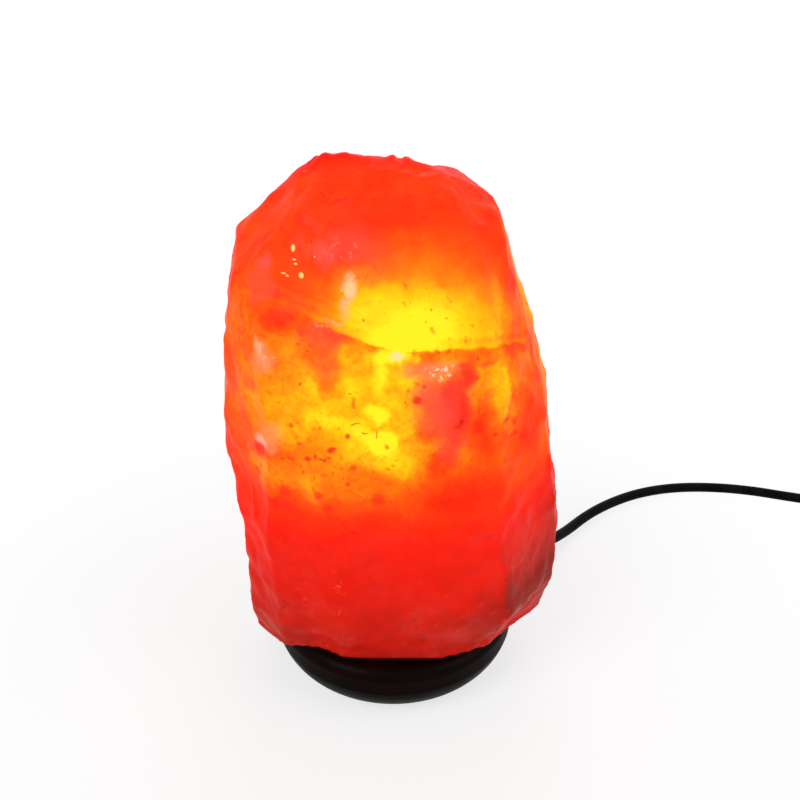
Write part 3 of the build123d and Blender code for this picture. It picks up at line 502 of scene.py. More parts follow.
saltGlow = {
    # scale, detail and roughness of the noise that bends the pattern, and how far it is bent
    "bendNoise": (95, 4, 0.6),
    "bends": {"bent": 0.011, "near": 0.0035},
    # height and the level of light that the whole block has there
    "floor": [
        (28, 0.13), (50, 0.17), (68, 0.24), (94, 0.32), (107, 0.37), (120, 0.42), (200, 0.435), (222, 0.43),
        (245, 0.42),
    ],
    # distance from the bulb's axis and what the glow adds there
    "reach": [
        (40, 0.38), (57.5, 0.33), (61.5, 0.25), (66, 0.17), (71, 0.09), (78, 0), (100, 0),
    ],
    # heights where the glow sets in and where it ends, in metres, and how far it wanders on the back
    "bandBottom": (0.100, 0.146),
    "bandTop": (0.182, 0.212),
    "wander": (-0.022, 0.022),
    "wanderNoise": (17, 2),
    "frontFade": (-0.020, -0.032),
    # place, reach, core, level added
    "lower": [
        ((-6, -60, 155), (6.5, 30, 5), 0.3, 0.26), ((-3, -60, 143.5), (8.5, 30, 7.5), 0.35, 0.3),
        ((-17, -60, 149), (12, 30, 5.5), 0.2, 0.18), ((-27, -60, 153), (11, 30, 6), 0.1, 0.13),
        ((-31, -60, 164), (7, 30, 7), 0.1, 0.08), ((-44, -55, 124), (22, 40, 12), 0.1, 0.09),
        ((-20, -58, 119), (30, 40, 9), 0.1, 0.04), ((1, -60, 134), (11, 30, 8), 0.1, 0.16),
        ((19, -60, 135), (10, 30, 8.5), 0.2, -0.2), ((1.5, -54, 177.5), (13, 30, 5), 0.3, 0.3),
        ((14, -58, 147), (8.5, 30, 7.5), 0.2, -0.2), ((-38, -50, 188), (13, 30, 7.5), 0.2, -0.13),
        ((-26.5, -60, 176.5), (12, 30, 6), 0.1, -0.17), ((-25, -60, 165), (15, 30, 8), 0.2, -0.07),
        ((-52, -50, 156), (19, 30, 24), 0.2, 0.13), ((-52, -48, 124), (15, 30, 11), 0.1, 0.09),
        ((-40, -56, 146), (8, 30, 10), 0.2, 0.1), ((41.2, -52, 154), (8, 40, 22), 0.1, 0.17),
        ((11, -56, 176.5), (8, 30, 5), 0.1, -0.16), ((30, -52, 174), (11, 30, 6), 0.1, -0.1),
        ((64, -20, 169), (15, 30, 19), 0.2, -0.24), ((68, -26, 52), (16, 30, 26), 0.2, -0.1),
        ((74, 4, 56), (30, 34, 36), 0.1, -0.17), ((70, -12, 98), (20, 24, 30), 0.1, -0.09),
        ((-74, 10, 48), (30, 36, 24), 0.1, -0.1), ((-10, 60, 50), (50, 30, 26), 0.1, -0.08),
        ((20, 60, 90), (24, 30, 20), 0.1, -0.06), ((50, -36, 174), (10, 40, 14), 0.2, -0.1),
        ((48, -48, 50), (38, 30, 28), 0.1, -0.08), ((-48, -46, 36), (24, 30, 14), 0.1, -0.05),
        ((-4, -60, 170), (5, 30, 12), 0.1, 0.18), ((-14, -60, 165), (8, 30, 9), 0.1, 0.06),
        ((6, -60, 169), (10, 30, 7), 0.1, 0.1), ((-24, -60, 168), (6, 30, 10), 0.2, -0.14),
        ((-27, -60, 183), (20, 30, 7), 0.2, -0.16), ((36, -60, 147), (13, 40, 20), 0.2, -0.22),
        ((56, -40, 146), (18, 40, 30), 0.2, -0.16), ((28, -60, 122), (30, 40, 14), 0.2, -0.1),
        ((-30, -60, 127), (18, 40, 10), 0.1, 0.1), ((44, -52, 160), (5.5, 40, 15), 0.2, 0.08),
        ((-22, -58, 154), (36, 40, 28), 0.2, 0.09), ((-12, -60, 142), (20, 40, 12), 0.1, 0.08),
        ((2, 60, 170), (34, 40, 16), 0.2, 0.34), ((-26, 60, 142), (18, 40, 14), 0.2, 0.26),
        ((34, 60, 135), (16, 40, 12), 0.2, -0.18), ((-76, 14, 162), (40, 26, 22), 0.1, 0.26),
        ((-76, -4, 136), (40, 16, 12), 0.1, -0.14), ((76, 16, 156), (40, 24, 22), 0.1, 0.26),
        ((-42, -50, 194), (24, 40, 15), 0.2, -0.13), ((52, -34, 190), (15, 40, 26), 0.3, -0.22),
    ],
    # the bright wedge over the front cleavage
    "wedge": [
        ((11, -50, 198), (42, 50, 30), 0.05, 0.17), ((8, -54, 189), (30, 50, 20), 0.1, 0.14),
        ((-11, -50, 201), (17, 50, 13), 0.1, 0.15), ((16, -52, 184), (23, 50, 10), 0.05, 0.05),
        ((1, -54, 183), (12, 50, 7), 0.1, 0.2), ((10, -44, 211), (30, 50, 12), 0.1, 0.05),
        ((-14, -50, 190), (9, 50, 7), 0.1, 0.1),
    ],
    # place across and the cleavage's height there, with the heights that hold them all
    "cleavage": [
        (-40, 193.5), (-33, 191.2), (-26, 188.8), (-17, 185), (-8, 181.5), (1, 179.2), (10, 178.8),
        (21, 179), (33, 178), (43, 176.5), (60, 169),
    ],
    "cleavageSpan": (165, 195),
    "waver": (-0.0006, 0.0006),
    "waverNoise": (160, 3),
    # heights over the cleavage: where the bright side begins, the shade under it, the shade's sharp edge
    "overFade": (-0.0006, 0.0010),
    "shadeFade": (-0.0050, -0.0004),
    "shadeEdge": (-0.0002, 0.0006),
    # how far to the left the shade goes
    "shadeSide": (-0.034, -0.020),
    "shade": 0.10,
    "grooves": 0.030,
    "grooveFade": (0.0, 0.012),
    "groovePitch": 1500.0,
    # the level's swing with the broad, middle and fine clouds, and where it is strongest
    "mottle": (0.04, 0.052, 0.026),
    "lively": (0.40, 0.75, 0.22),
    "calm": 0.28,
    "cracks": 0.07,
    "crackScale": 46,
    "crackFade": (0.004, 0.026),
    # the cleavage face at the lower right that gets painted shade, in metres: a point on it, its direction,
    # where the shade sets in
    "shadedFacePoint": (0.061, -0.034, 0.088),
    "shadedFaceWay": (0.78, -0.62, 0.06),
    "shadedFaceFade": (0.118, 0.050),
    "shadedFaceDepth": (-0.0030, -0.0004),
    "shadedFacePatches": (0.72, 1.0),
    "faceShadeStrength": 0.22,
    # level and the colour that shines there
    "colours": [
        (0, (0.02, 0, 0)), (0.13, (0.23, 0.002, 0.001)), (0.24, (0.52, 0.002, 0)), (0.33, (0.72, 0.004, 0)),
        (0.42, (0.74, 0.026, 0)), (0.53, (0.74, 0.09, 0)), (0.68, (0.74, 0.26, 0)), (0.84, (0.76, 0.57, 0)),
        (1, (0.78, 0.9, 0.012)),
    ],
}

saltMarksAndHighlights = [
    # place, reach, core, colour, share of the mark; the pale yellow and pinkish marks are painted highlights
    # and sheen
    ((18.5, -60, 160), (13, 20, 17), 0.4, (0.74, 0.05, 0.03), 0.86),
    ((24, -60, 156), (9.5, 20, 21), 0.45, (0.74, 0.026, 0.02), 0.85),
    ((15, -60, 172.2), (14, 20, 5), 0.4, (0.76, 0.19, 0.08), 0.75),
    ((27, -60, 168), (7, 20, 8), 0.4, (0.74, 0.034, 0.02), 0.85),
    ((-56, -36, 38), (12, 20, 10), 0.2, (0.26, 0.03, 0.024), 0.55),
    ((13, -60, 164), (8, 20, 7), 0.2, (0.76, 0.11, 0.055), 0.7),
    ((22.5, -60, 142), (8.5, 20, 9), 0.3, (0.74, 0.038, 0.024), 0.8),
    ((29, -60, 170), (5, 20, 7), 0.4, (0.72, 0.014, 0.01), 0.8),
    ((27, -60, 153), (5, 20, 10), 0.2, (0.72, 0.01, 0.008), 0.6),
    ((-25, -55, 183.5), (15, 20, 6), 0.3, (0.74, 0.055, 0.03), 0.7),
    ((-24, -55, 174), (9, 20, 9), 0.1, (0.74, 0.095, 0.03), 0.45),
    ((-8, -50, 208), (18, 30, 10), 0.1, (0.74, 0.05, 0.03), 0.45),
    ((-15, -45, 215), (17, 30, 9), 0.1, (0.76, 0.09, 0.075), 0.42),
    ((-25, -45, 211), (7, 30, 6), 0.1, (0.78, 0.12, 0.11), 0.5),
    ((-47.2, -38, 206.6), (4.6, 20, 4.6), 0.2, (0.8, 0.1, 0.12), 0.6),
    ((-50, -41, 198.5), (7.5, 20, 7), 0.7, (0.78, 0.075, 0.042), 0.55),
    ((-48.9, -50, 174.6), (6.6, 20, 8), 0.1, (0.86, 0.38, 0.17), 0.62),
    ((-49.5, -50, 177.5), (3, 20, 3.6), 0.1, (0.9, 0.48, 0.26), 0.5),
    ((-64, -36, 156), (6, 20, 12), 0.2, (0.74, 0.07, 0.04), 0.4),
    ((2.5, -57, 176.7), (4, 20, 2.4), 0.3, (0.95, 0.74, 0.42), 0.85),
    ((-14.8, -50, 200.5), (3.6, 20, 7), 0.3, (0.95, 0.66, 0.34), 0.85),
    ((-16.8, -50, 194.5), (3.4, 20, 5), 0.2, (0.92, 0.48, 0.2), 0.7),
    ((-21, -55, 189.7), (5.2, 20, 1.4), 0.2, (0.9, 0.4, 0.23), 0.6),
    ((25.3, -60, 150), (2.4, 20, 2.4), 0.2, (0.5, 0.004, 0.003), 0.8),
    ((19, -60, 155.5), (6, 20, 9), 0.1, (0.76, 0.085, 0.06), 0.55),
    ((26.5, -60, 160), (3.2, 20, 13), 0.1, (0.7, 0.01, 0.006), 0.65),
    ((47, -48, 146), (2.2, 30, 2.6), 0.2, (0.7, 0.012, 0.005), 0.75),
    ((48, -47, 141), (3.2, 30, 1.8), 0.2, (0.7, 0.012, 0.005), 0.75),
    ((33, -55, 175), (1.8, 20, 1.4), 0.2, (0.7, 0.014, 0.006), 0.8),
    ((36.5, -54, 172), (4.2, 20, 3.4), 0.2, (0.74, 0.045, 0.012), 0.7),
    ((36, -55, 161), (4, 20, 6), 0.1, (0.74, 0.07, 0.01), 0.55),
    ((-9, -63, 90.3), (6, 20, 7), 0.1, (0.5, 0, 0), 0.6),
    ((36, -62, 98), (10, 20, 7), 0.1, (0.58, 0.02, 0.014), 0.5),
    ((39, -62, 97.5), (2.8, 20, 2.6), 0.2, (0.4, 0.004, 0.004), 0.7),
    ((56, -45, 90), (8, 30, 15), 0.2, (0.5, 0.03, 0.022), 0.5),
    ((27, -60, 42), (16, 30, 11), 0.1, (0.36, 0.026, 0.02), 0.55),
]

saltSparks = {
    # small glints on chipped faces: place and half width
    "glints": [
        ((-36.4, -34.5, 212.2), (1, 6, 1.6)), ((-36, -36, 208.4), (1, 6, 0.4)),
        ((-33.2, -40.8, 203.7), (1.3, 6, 1.3)), ((-40.1, -38.2, 203.6), (1.4, 6, 0.4)),
        ((-35.4, -36, 207), (0.8, 6, 0.4)), ((-30.4, -38, 213.4), (0.5, 6, 0.5)),
        ((-28.2, -40, 210), (0.4, 6, 0.4)), ((-38.5, -38.2, 203), (0.7, 6, 0.4)),
    ],
    "glintColour": (1.0, 0.74, 0.22),
    "glintCore": 0.45,
    # small marks that keep their place, mostly dark red specks, the paler ones painted highlights: place,
    # half width, colour, share
    "dots": [
        ((-46.6, -51, 143.8), 5.2, (0.84, 0.34, 0.11), 0.55),
        ((-47.4, -51, 137.7), 3.4, (0.84, 0.3, 0.13), 0.55),
        ((-51.7, -48, 139), 3, (0.9, 0.42, 0.33), 0.85),
        ((-53.1, -46, 134.1), 3.6, (0.72, 0.016, 0.012), 0.85),
        ((10, -58, 160.2), 1.8, (0.64, 0.01, 0.004), 0.9),
        ((-32.7, -56, 135.3), 1.5, (0.66, 0.022, 0.004), 0.9),
        ((-23.1, -58, 139.9), 1.8, (0.66, 0.018, 0.004), 0.9),
        ((-16.9, -58, 145.9), 1.3, (0.58, 0.026, 0.004), 0.85),
        ((-14.5, -58, 132.8), 1.7, (0.7, 0.05, 0.004), 0.7),
        ((-17, -59, 125.8), 1.3, (0.68, 0.03, 0.004), 0.7),
        ((-38.4, -53, 147.7), 1.1, (0.62, 0.04, 0.004), 0.7),
        ((-34.2, -53, 165.5), 0.8, (0.55, 0.04, 0.004), 0.7),
        ((-1.8, -58, 141.4), 1, (0.66, 0.06, 0.004), 0.7), ((-55, -44, 122), 2, (0.7, 0.012, 0.004), 0.75),
        ((-47.8, -52, 111.9), 3, (0.7, 0.008, 0.003), 0.8),
        ((-42, -54, 111.8), 2, (0.72, 0.012, 0.01), 0.8),
        ((-42.4, -54, 118.9), 2.8, (0.7, 0.014, 0.004), 0.65),
        ((-28.5, -58, 120.5), 2.2, (0.7, 0.014, 0.004), 0.8),
        ((-5.5, -59, 118.4), 3.2, (0.7, 0.006, 0.002), 0.7),
        ((-25.1, -59, 114.4), 2.4, (0.7, 0.008, 0.002), 0.6),
        ((-55.5, -42, 160), 4.4, (0.72, 0.026, 0.006), 0.55),
        ((26, -57, 151.5), 1.1, (0.4, 0.006, 0.004), 0.85), ((12, -56, 166), 0.9, (0.6, 0.03, 0.006), 0.7),
        ((44, -50, 148), 1.4, (0.62, 0.01, 0.004), 0.7), ((40, -52, 144), 1.2, (0.62, 0.01, 0.004), 0.7),
    ],
    # how far past its half width a dot fades, and how deep it reaches
    "dotSpread": 1.3,
    "dotDepth": 20,
    "dotCore": 0.3,
    # hair-thin dark lines: place, half lengths across, along and up
    "hairs": [
        ((-6.3, -58, 147.6), (0.7, 20, 3)), ((-13.4, -58, 150), (2.8, 20, 0.6)),
        ((-25.9, -58, 136.1), (3.4, 20, 0.6)), ((-10, -58, 147.2), (2.2, 20, 0.5)),
    ],
    "hairColour": (0.45, 0.040, 0.0),
    "hairCore": 0.2,
    "hairShare": 0.75,
    # clusters of crumbled faces with painted sparkles where they catch the light: place, reach, share
    "crumbSparkles": [
        ((18.5, -59, 171.2), (6.4, 20, 4.6), 1), ((11, -59, 173.8), (4, 20, 2), 0.75),
        ((3, -59, 176.6), (6, 20, 2.6), 0.55), ((-17, -48, 197.5), (3, 20, 7.5), 0.55),
        ((-48, -50, 174.5), (6, 20, 7), 0.35), ((-24, -56, 187), (9, 20, 2.4), 0.35),
        ((-17, -43, 214), (12, 20, 6), 0.16), ((-23, -59, 72), (1.6, 20, 22), 0.14),
    ],
    "crumbSparkleColour": (1.0, 0.62, 0.46),
    "crumbSparkleCore": 0.3,
    # regions full of specks: place, reach, share
    "specked": [
        ((-33, -56, 136), (30, 40, 26), 0.95), ((10, -58, 160), (14, 40, 16), 0.6),
        ((-36, -50, 180), (20, 40, 12), 0.7), ((35, -50, 156), (20, 40, 22), 0.6),
        ((10, -50, 195), (26, 40, 12), 0.45), ((-20, -58, 116), (40, 40, 12), 0.55),
    ],
    "speckedCore": 0.2,
    # scattered cells: number to a metre, core and rim of a dot, channel of the lot, lots kept, greatest share
    "specks": (330, (0.14, 0.32), 1, (0.45, 0.60), 0.80),
    "flecks": (175, (0.10, 0.32), 0, (0.50, 0.65), 0.75),
    "facets": (520, (0.35, 0.65), 0, (0.25, 0.45), 1.0),
    "speckColour": (0.55, 0.012, 0.0),
    "fleckColour": (0.66, 0.018, 0.003),
}

# scale, detail, and the limits between which the noise is stretched
saltClouds = {
    "broad": (42, 4, 0.25, 0.75), "middle": (130, 5, 0.30, 0.70), "fine": (420, 4, 0.30, 0.70),
    "footGreying": (55, 5, 0.45, 0.80), "cracks": (60, 3, 0.54, 0.70),
    "speck": (60, 2, 0.50, 0.72), "fleck": (38, 2, 0.46, 0.66),
}

saltBody = {
    "colours": ((0.280, 0.0110, 0.0045), (0.320, 0.0150, 0.0075)),
    # the greyer colour towards the foot, also used as painted shade on the lower right face
    "footGreyAndShadeColour": (0.310, 0.042, 0.034),
    "footGreyFade": (0.105, 0.030),
    "roughness": (0.30, 0.52),
    "coat": (0.0, 0.16),
    # scale, fine scale, strength and depth of the grain
    "grain": (110, 700, 0.35, 0.0007),
}


# Where the pattern is read: straight, bent or nearly straight, so that no patch is a clean ellipse
def saltPlaces(where):
    bend = noiseAt(where, *saltGlow["bendNoise"])["Color"]
    shift = vectorMaths("SUBTRACT", bend, (0.5, 0.5, 0.5))
    at = {"straight": where}
    for name, amount in saltGlow["bends"].items():
        at[name] = vectorMaths("ADD", where, vectorMaths("MULTIPLY", shift, (amount,) * 3))
    return at


def axesOf(vector):
    return addNode("ShaderNodeSeparateXYZ", {0: vector}).outputs


# Straight lines through the stops, from a value in metres to a level
def levelCurve(value, stops):
    low, high = stops[0][0], stops[-1][0]
    share = mapRange(value, low / 1000, high / 1000)
    return colourRamp(share, [((v - low) / (high - low), (level,) * 3) for v, level in stops])


def addPatches(vector, level, rows, *masks):
    for centre, reach, core, share in rows:
        level = plus(level, times(patch(vector, centre, reach, core), *masks, share))
    return level


# Light from the bulb: a floor by height, and a band that is stronger where the wall is thin
def bulbLight(at, front):
    axes = axesOf(at["bent"])
    flat = addNode("ShaderNodeCombineXYZ", {"X": axes["X"], "Y": axes["Y"]}).outputs[0]
    wander = noiseAt(at["straight"], *saltGlow["wanderNoise"])["Fac"]
    wander = mapRange(wander, 0.3, 0.7, *saltGlow["wander"])
    height = plus(axes["Z"], times(wander, minus(1.0, front)))
    bottom = ease(height, *saltGlow["bandBottom"])
    band = times(bottom, ease(height, *saltGlow["bandTop"], 1, 0))
    reach = levelCurve(vectorMaths("LENGTH", flat), saltGlow["reach"])
    return plus(levelCurve(axes["Z"], saltGlow["floor"]), times(band, reach))


# Height over the front cleavage's wavering edge
def overCleavage(at):
    straight = axesOf(at["straight"])
    low, high = saltGlow["cleavageSpan"]
    stops = [(x, (z - low) / (high - low)) for x, z in saltGlow["cleavage"]]
    edge = between(levelCurve(straight["X"], stops), low / 1000, high / 1000)
    waver = noiseAt(at["straight"], *saltGlow["waverNoise"])["Fac"]
    waver = mapRange(waver, 0.3, 0.7, *saltGlow["waver"])
    return minus(straight["Z"], plus(edge, waver))


# Bright and grooved above the cleavage, with a thin shade under it
def cleavageLight(at, level, front, over, above):
    level = addPatches(at["bent"], level, saltGlow["wedge"], above)
    level = addPatches(at["bent"], level, saltGlow["lower"])
    under = times(ease(over, *saltGlow["shadeFade"]), mapRange(over, *saltGlow["shadeEdge"], 1, 0), front)
    sideways = ease(axesOf(at["straight"])["X"], *saltGlow["shadeSide"])
    level = minus(level, times(under, sideways, saltGlow["shade"]))
    phase = times(over, saltGlow["groovePitch"])
    grooves = addNode("ShaderNodeMath", {0: phase}, operation="SINE").outputs[0]
    grooved = times(ease(over, *saltGlow["grooveFade"], 1, 0), above, grooves, saltGlow["grooves"])
    return plus(level, grooved)


# Cloudy thickness, strongest where the light is, and hair cracks that are open here and there
def cloudyLight(at, level, above, clouds):
    swings = [between(mask, -swing, swing) for mask, swing in zip(clouds, saltGlow["mottle"])]
    low, high, least = saltGlow["lively"]
    lively = ease(level, low, high, least, 1.0)
    calm = between(above, 1.0, saltGlow["calm"])
    level = plus(level, times(plus(*swings), times(lively, calm)))
    # the thickness attribute: the glow's change over hollows and bumps, with painted shade on the top facets
    # that face up and back
    thickness = addNode("ShaderNodeAttribute", tree=level.id_data, attribute_name="thickness").outputs["Fac"]
    level = plus(level, thickness)
    inputs = {"Vector": at["straight"], "Scale": saltGlow["crackScale"]}
    seams = addNode("ShaderNodeTexVoronoi", inputs, feature="DISTANCE_TO_EDGE").outputs["Distance"]
    opened = cloud(at["bent"], *saltClouds["cracks"])
    return minus(level, times(ease(seams, *saltGlow["crackFade"], 1, 0), opened, saltGlow["cracks"]))


# Painted shade on the cleavage face at the lower right, patchy and deeper towards the foot
def shadedFace(at, broad):
    depth = vectorMaths("SUBTRACT", at["near"], saltGlow["shadedFacePoint"])
    depth = vectorMaths("DOT_PRODUCT", depth, saltGlow["shadedFaceWay"])
    fading = ease(axesOf(at["bent"])["Z"], *saltGlow["shadedFaceFade"])
    return times(ease(depth, *saltGlow["shadedFaceDepth"]), fading, between(broad, *saltGlow["shadedFacePatches"]))


# Scattered cells: each a soft dot, and only some of them shown
def scatter(vector, row, distance="EUCLIDEAN"):
    scale, reach, channel, kept, most = row
    cells = addNode("ShaderNodeTexVoronoi", {"Vector": vector, "Scale": scale}, distance=distance).outputs
    lot = addNode("ShaderNodeSeparateColor", {0: cells["Color"]}).outputs[channel]
    return times(ease(cells["Distance"], *reach, 1, 0), mapRange(lot, *kept, 0.0, most))


# Dark specks and larger flecks, each in clouds of its own and in the regions that are full of them
def speckedGlow(at, glow):
    core = saltSparks["speckedCore"]
    regions = [times(patch(at["bent"], *row, core), share) for *row, share in saltSparks["specked"]]
    for name in ("speck", "fleck"):
        gathered = maths("MAXIMUM", cloud(at["straight"], *saltClouds[name]), *regions)
        specks = times(scatter(at["bent"], saltSparks[name + "s"]), gathered)
        glow = mixColour(specks, glow, saltSparks[name + "Colour"])
    return glow


# Marks on the glow: coloured patches, some of them painted highlights and sheen, painted sparkles on crumbled
# faces, specks, hair lines and painted glints
def markedGlow(at, glow):
    for centre, reach, core, colour, share in saltMarksAndHighlights:
        glow = mixColour(times(patch(at["bent"], centre, reach, core), share), glow, colour)
    facets = scatter(at["bent"], saltSparks["facets"], "MANHATTAN")
    # painted sparkles on crumbled faces
    for centre, reach, share in saltSparks["crumbSparkles"]:
        mask = times(patch(at["bent"], centre, reach, saltSparks["crumbSparkleCore"]), facets, share)
        glow = mixColour(mask, glow, saltSparks["crumbSparkleColour"])
    # dark red specks, and paler dots that are painted highlights
    for centre, size, colour, share in saltSparks["dots"]:
        size *= saltSparks["dotSpread"]
        reach = (size, saltSparks["dotDepth"], size)
        glow = mixColour(times(patch(at["near"], centre, reach, saltSparks["dotCore"]), share), glow, colour)
    for centre, reach in saltSparks["hairs"]:
        mask = times(patch(at["bent"], centre, reach, saltSparks["hairCore"]), saltSparks["hairShare"])
        glow = mixColour(mask, glow, saltSparks["hairColour"])
    for centre, reach in saltSparks["glints"]:
        mask = patch(at["straight"], centre, reach, saltSparks["glintCore"])
        glow = mixColour(mask, glow, saltSparks["glintColour"])
    return glow


def saltMaterial():
    material, where = newMaterial("litSalt")
    at = saltPlaces(where)
    front = ease(axesOf(where)["Y"], *saltGlow["frontFade"])
    over = overCleavage(at)
    above = times(ease(over, *saltGlow["overFade"]), front)
    level = cleavageLight(at, bulbLight(at, front), front, over, above)
    broad, middle = (cloud(at["bent"], *saltClouds[name]) for name in ("broad", "middle"))
    fine = cloud(where, *saltClouds["fine"])
    level = cloudyLight(at, level, above, (broad, middle, fine))
    # painted shade on the lower right face dims the glow
    faceShade = shadedFace(at, broad)
    level = minus(level, times(faceShade, saltGlow["faceShadeStrength"]))
    glow = markedGlow(at, speckedGlow(at, colourRamp(level, saltGlow["colours"])))
    # Body colour: deep red, pinker and greyer in cloudy patches towards the foot, and greyer as painted shade
    # on the lower right face
    low = ease(axesOf(at["bent"])["Z"], *saltBody["footGreyFade"])
    footGreying = times(low, cloud(where, *saltClouds["footGreying"]))
    body = mixColour(broad, *saltBody["colours"])
    body = mixColour(maths("MAXIMUM", footGreying, times(faceShade, 0.6)), body, saltBody["footGreyAndShadeColour"])
    fillShader(material, {
        "IOR": 1.54, "Specular IOR Level": 0.02, "Coat Roughness": 0.18, "Coat IOR": 1.3,
        "Emission Strength": 1.0,
        "Base Color": body,
        "Emission Color": glow,
        "Roughness": between(middle, *saltBody["roughness"]),
        "Coat Weight": mapRange(broad, 0.70, 1.0, *saltBody["coat"]),
        "Normal": relief(where, *saltBody["grain"]),
    })
    return material


def makeSalt():
    block = mergedCopy(nodes["salt_crystal"], "saltBlock", saltShape["weld"])
    rock = remeshed(block, "saltCrystal", saltShape["voxel"])
    shapeSalt(rock, saltShape)
    rock.data.materials.clear()
    rock.data.materials.append(saltMaterial())
    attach(rock, "crystal")
    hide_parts("salt_crystal")
    print("salt crystal shaped,", len(rock.data.polygons), "faces")


makeSalt()


# Finishes of the smaller pieces


# Near-black stained wood under a thin lacquer
def woodMaterial():
    material, where = newMaterial("stainedWood")
    along = addNode("ShaderNodeMapping", {"Vector": where, "Scale": (14, 160, 160)}).outputs[0]
    grain = cloud(along, 1, 6, 0.3, 0.7)
    broad = cloud(where, 30, 3, 0.3, 0.7)
    colour = mixColour(grain, (0.0016, 0.0004, 0.0003), (0.0060, 0.0014, 0.0008))
    fillShader(material, {
        "Specular IOR Level": 0.02, "Coat Roughness": 0.10, "Coat IOR": 1.3,
        "Base Color": mixColour(times(broad, 0.5), colour, (0.0038, 0.0009, 0.0006)),
        "Roughness": between(grain, 0.40, 0.55),
        "Coat Weight": between(broad, 0.02, 0.05),
        "Normal": relief(along, 2, 9, 0.25, 0.0002),
    })
    return material


# A finish that wavers under one cloudy mask between two colours and two roughnesses
def waveringMaterial(name, cloudy, colours, rough, bumps=None, constants={}):
    material, where = newMaterial(name)
    mask = cloud(where, *cloudy)
    colour = mixColour(mask, *colours)
    fillShader(material, {**constants, "Base Color": colour, "Roughness": between(mask, *rough)})
    if bumps:
        fillShader(material, {"Normal": relief(where, *bumps)})
    return material


def feltMaterial():
    colours = ((0.010, 0.010, 0.011), (0.045, 0.044, 0.046))
    sheen = {"Sheen Weight": 0.4, "Sheen Roughness": 0.5}
    return waveringMaterial(
        "blackFelt", (1500, 4, 0.35, 0.65), colours, (0.85, 1.0), (1400, 3000, 0.8, 0.0004), sheen)


def boardMaterial():
    colours = ((0.10, 0.055, 0.028), (0.22, 0.13, 0.075))
    return waveringMaterial("fibreboard", (700, 5, 0.3, 0.7), colours, (0.6, 0.85), (700, 2400, 0.4, 0.0002))


def porcelainMaterial():
    colours = ((0.80, 0.78, 0.72), (0.70, 0.66, 0.58))
    glaze = {"Coat Weight": 0.5, "Coat Roughness": 0.05}
    return waveringMaterial("glazedPorcelain", (300, 4, 0.4, 0.7), colours, (0.18, 0.3), constants=glaze)


def plasticMaterial(name, colour, rough, scale, strength, gloss=0.4):
    worn = tuple(min(1.0, c * 1.35 + 0.004) for c in colour)
    bumps = (scale, scale * 4, strength, 0.0001)
    surface = {"IOR": 1.5, "Specular IOR Level": gloss}
    return waveringMaterial(name, (120, 5, 0.35, 0.75), (colour, worn), (rough, rough + 0.14), bumps, surface)


def metalMaterial(name, colour, tarnish, rough):
    material, where = newMaterial(name)
    brushed = addNode("ShaderNodeMapping", {"Vector": where, "Scale": (500, 500, 90)}).outputs[0]
    streak = cloud(brushed, 1, 3, 0.3, 0.7)
    spots = times(cloud(where, 260, 5, 0.5, 0.8), 0.6)
    fillShader(material, {
        "Metallic": 1.0,
        "Base Color": mixColour(spots, colour, tarnish),
        "Roughness": between(streak, rough, rough + 0.16),
        "Normal": relief(brushed, 1, 4, 0.1, 0.00005),
    })
    return material


# Thin clear glass, warm from the filament behind it
def glassMaterial():
    material, where = newMaterial("bulbGlass")
    film = cloud(where, 90, 3, 0.3, 0.8)
    halo = patch(where, (0, 0, 105), (50, 50, 42), 0.1)
    fillShader(material, {
        "IOR": 1.1, "Transmission Weight": 0.92, "Emission Strength": 0.16,
        "Base Color": mixColour(film, (1.0, 0.94, 0.84), (0.98, 0.90, 0.76)),
        "Roughness": between(film, 0.02, 0.08),
        "Emission Color": mixColour(halo, (0.02, 0.004, 0.0), (1.0, 0.42, 0.08)),
    })
    return material


def filamentMaterial():
    material, where = newMaterial("hotFilament")
    mask = cloud(where, 800, 2, 0.3, 0.7)
    fillShader(material, {
        "Base Color": mixColour(mask, (0.5, 0.35, 0.2), (0.6, 0.5, 0.3)),
        "Emission Color": mixColour(mask, (1.0, 0.62, 0.20), (1.0, 0.80, 0.42)),
        "Emission Strength": 8.0,
    })
    return material


finishes = {
    "dark_wood": woodMaterial(),
    "felt": feltMaterial(),
    "fibreboard": boardMaterial(),
    "black_cord": plasticMaterial("blackCordSheath", (0.0022, 0.0012, 0.0012), 0.46, 260, 0.02, 0.03),
    "black_plastic": plasticMaterial("blackSwitchPlastic", (0.0045, 0.0043, 0.0045), 0.34, 1100, 0.16, 0.12),
    "holder_plastic": plasticMaterial("holderPlastic", (0.020, 0.018, 0.017), 0.42, 800, 0.2),
    "porcelain": porcelainMaterial(),
    "brass": metalMaterial("brass", (0.72, 0.50, 0.20), (0.42, 0.26, 0.10), 0.22),
    "zinc_steel": metalMaterial("zincPlatedSteel", (0.58, 0.58, 0.56), (0.34, 0.33, 0.31), 0.26),
    "nickel": metalMaterial("nickelPlate", (0.70, 0.67, 0.61), (0.48, 0.44, 0.38), 0.14),
    "clear_glass": glassMaterial(),
    "black_glass": plasticMaterial("blackInsulatorGlass", (0.012, 0.012, 0.016), 0.10, 400, 0.08),
    "solder": metalMaterial("solder", (0.52, 0.52, 0.54), (0.34, 0.34, 0.35), 0.34),
    "tungsten": filamentMaterial(),
    "brown_wire": plasticMaterial("brownInsulation", (0.15, 0.045, 0.018), 0.34, 900, 0.1),
    "blue_wire": plasticMaterial("blueInsulation", (0.020, 0.085, 0.36), 0.34, 900, 0.1),
}
slots = {row["node"]: row["material_slot"] for row in frame["record"]["subparts"]}
for name, node in nodes.items():
    if slots[name] != "salt":
        node.data.materials.clear()
        node.data.materials.append(finishes[slots[name]])
print("finishes given")


# Ribs, threads and grips

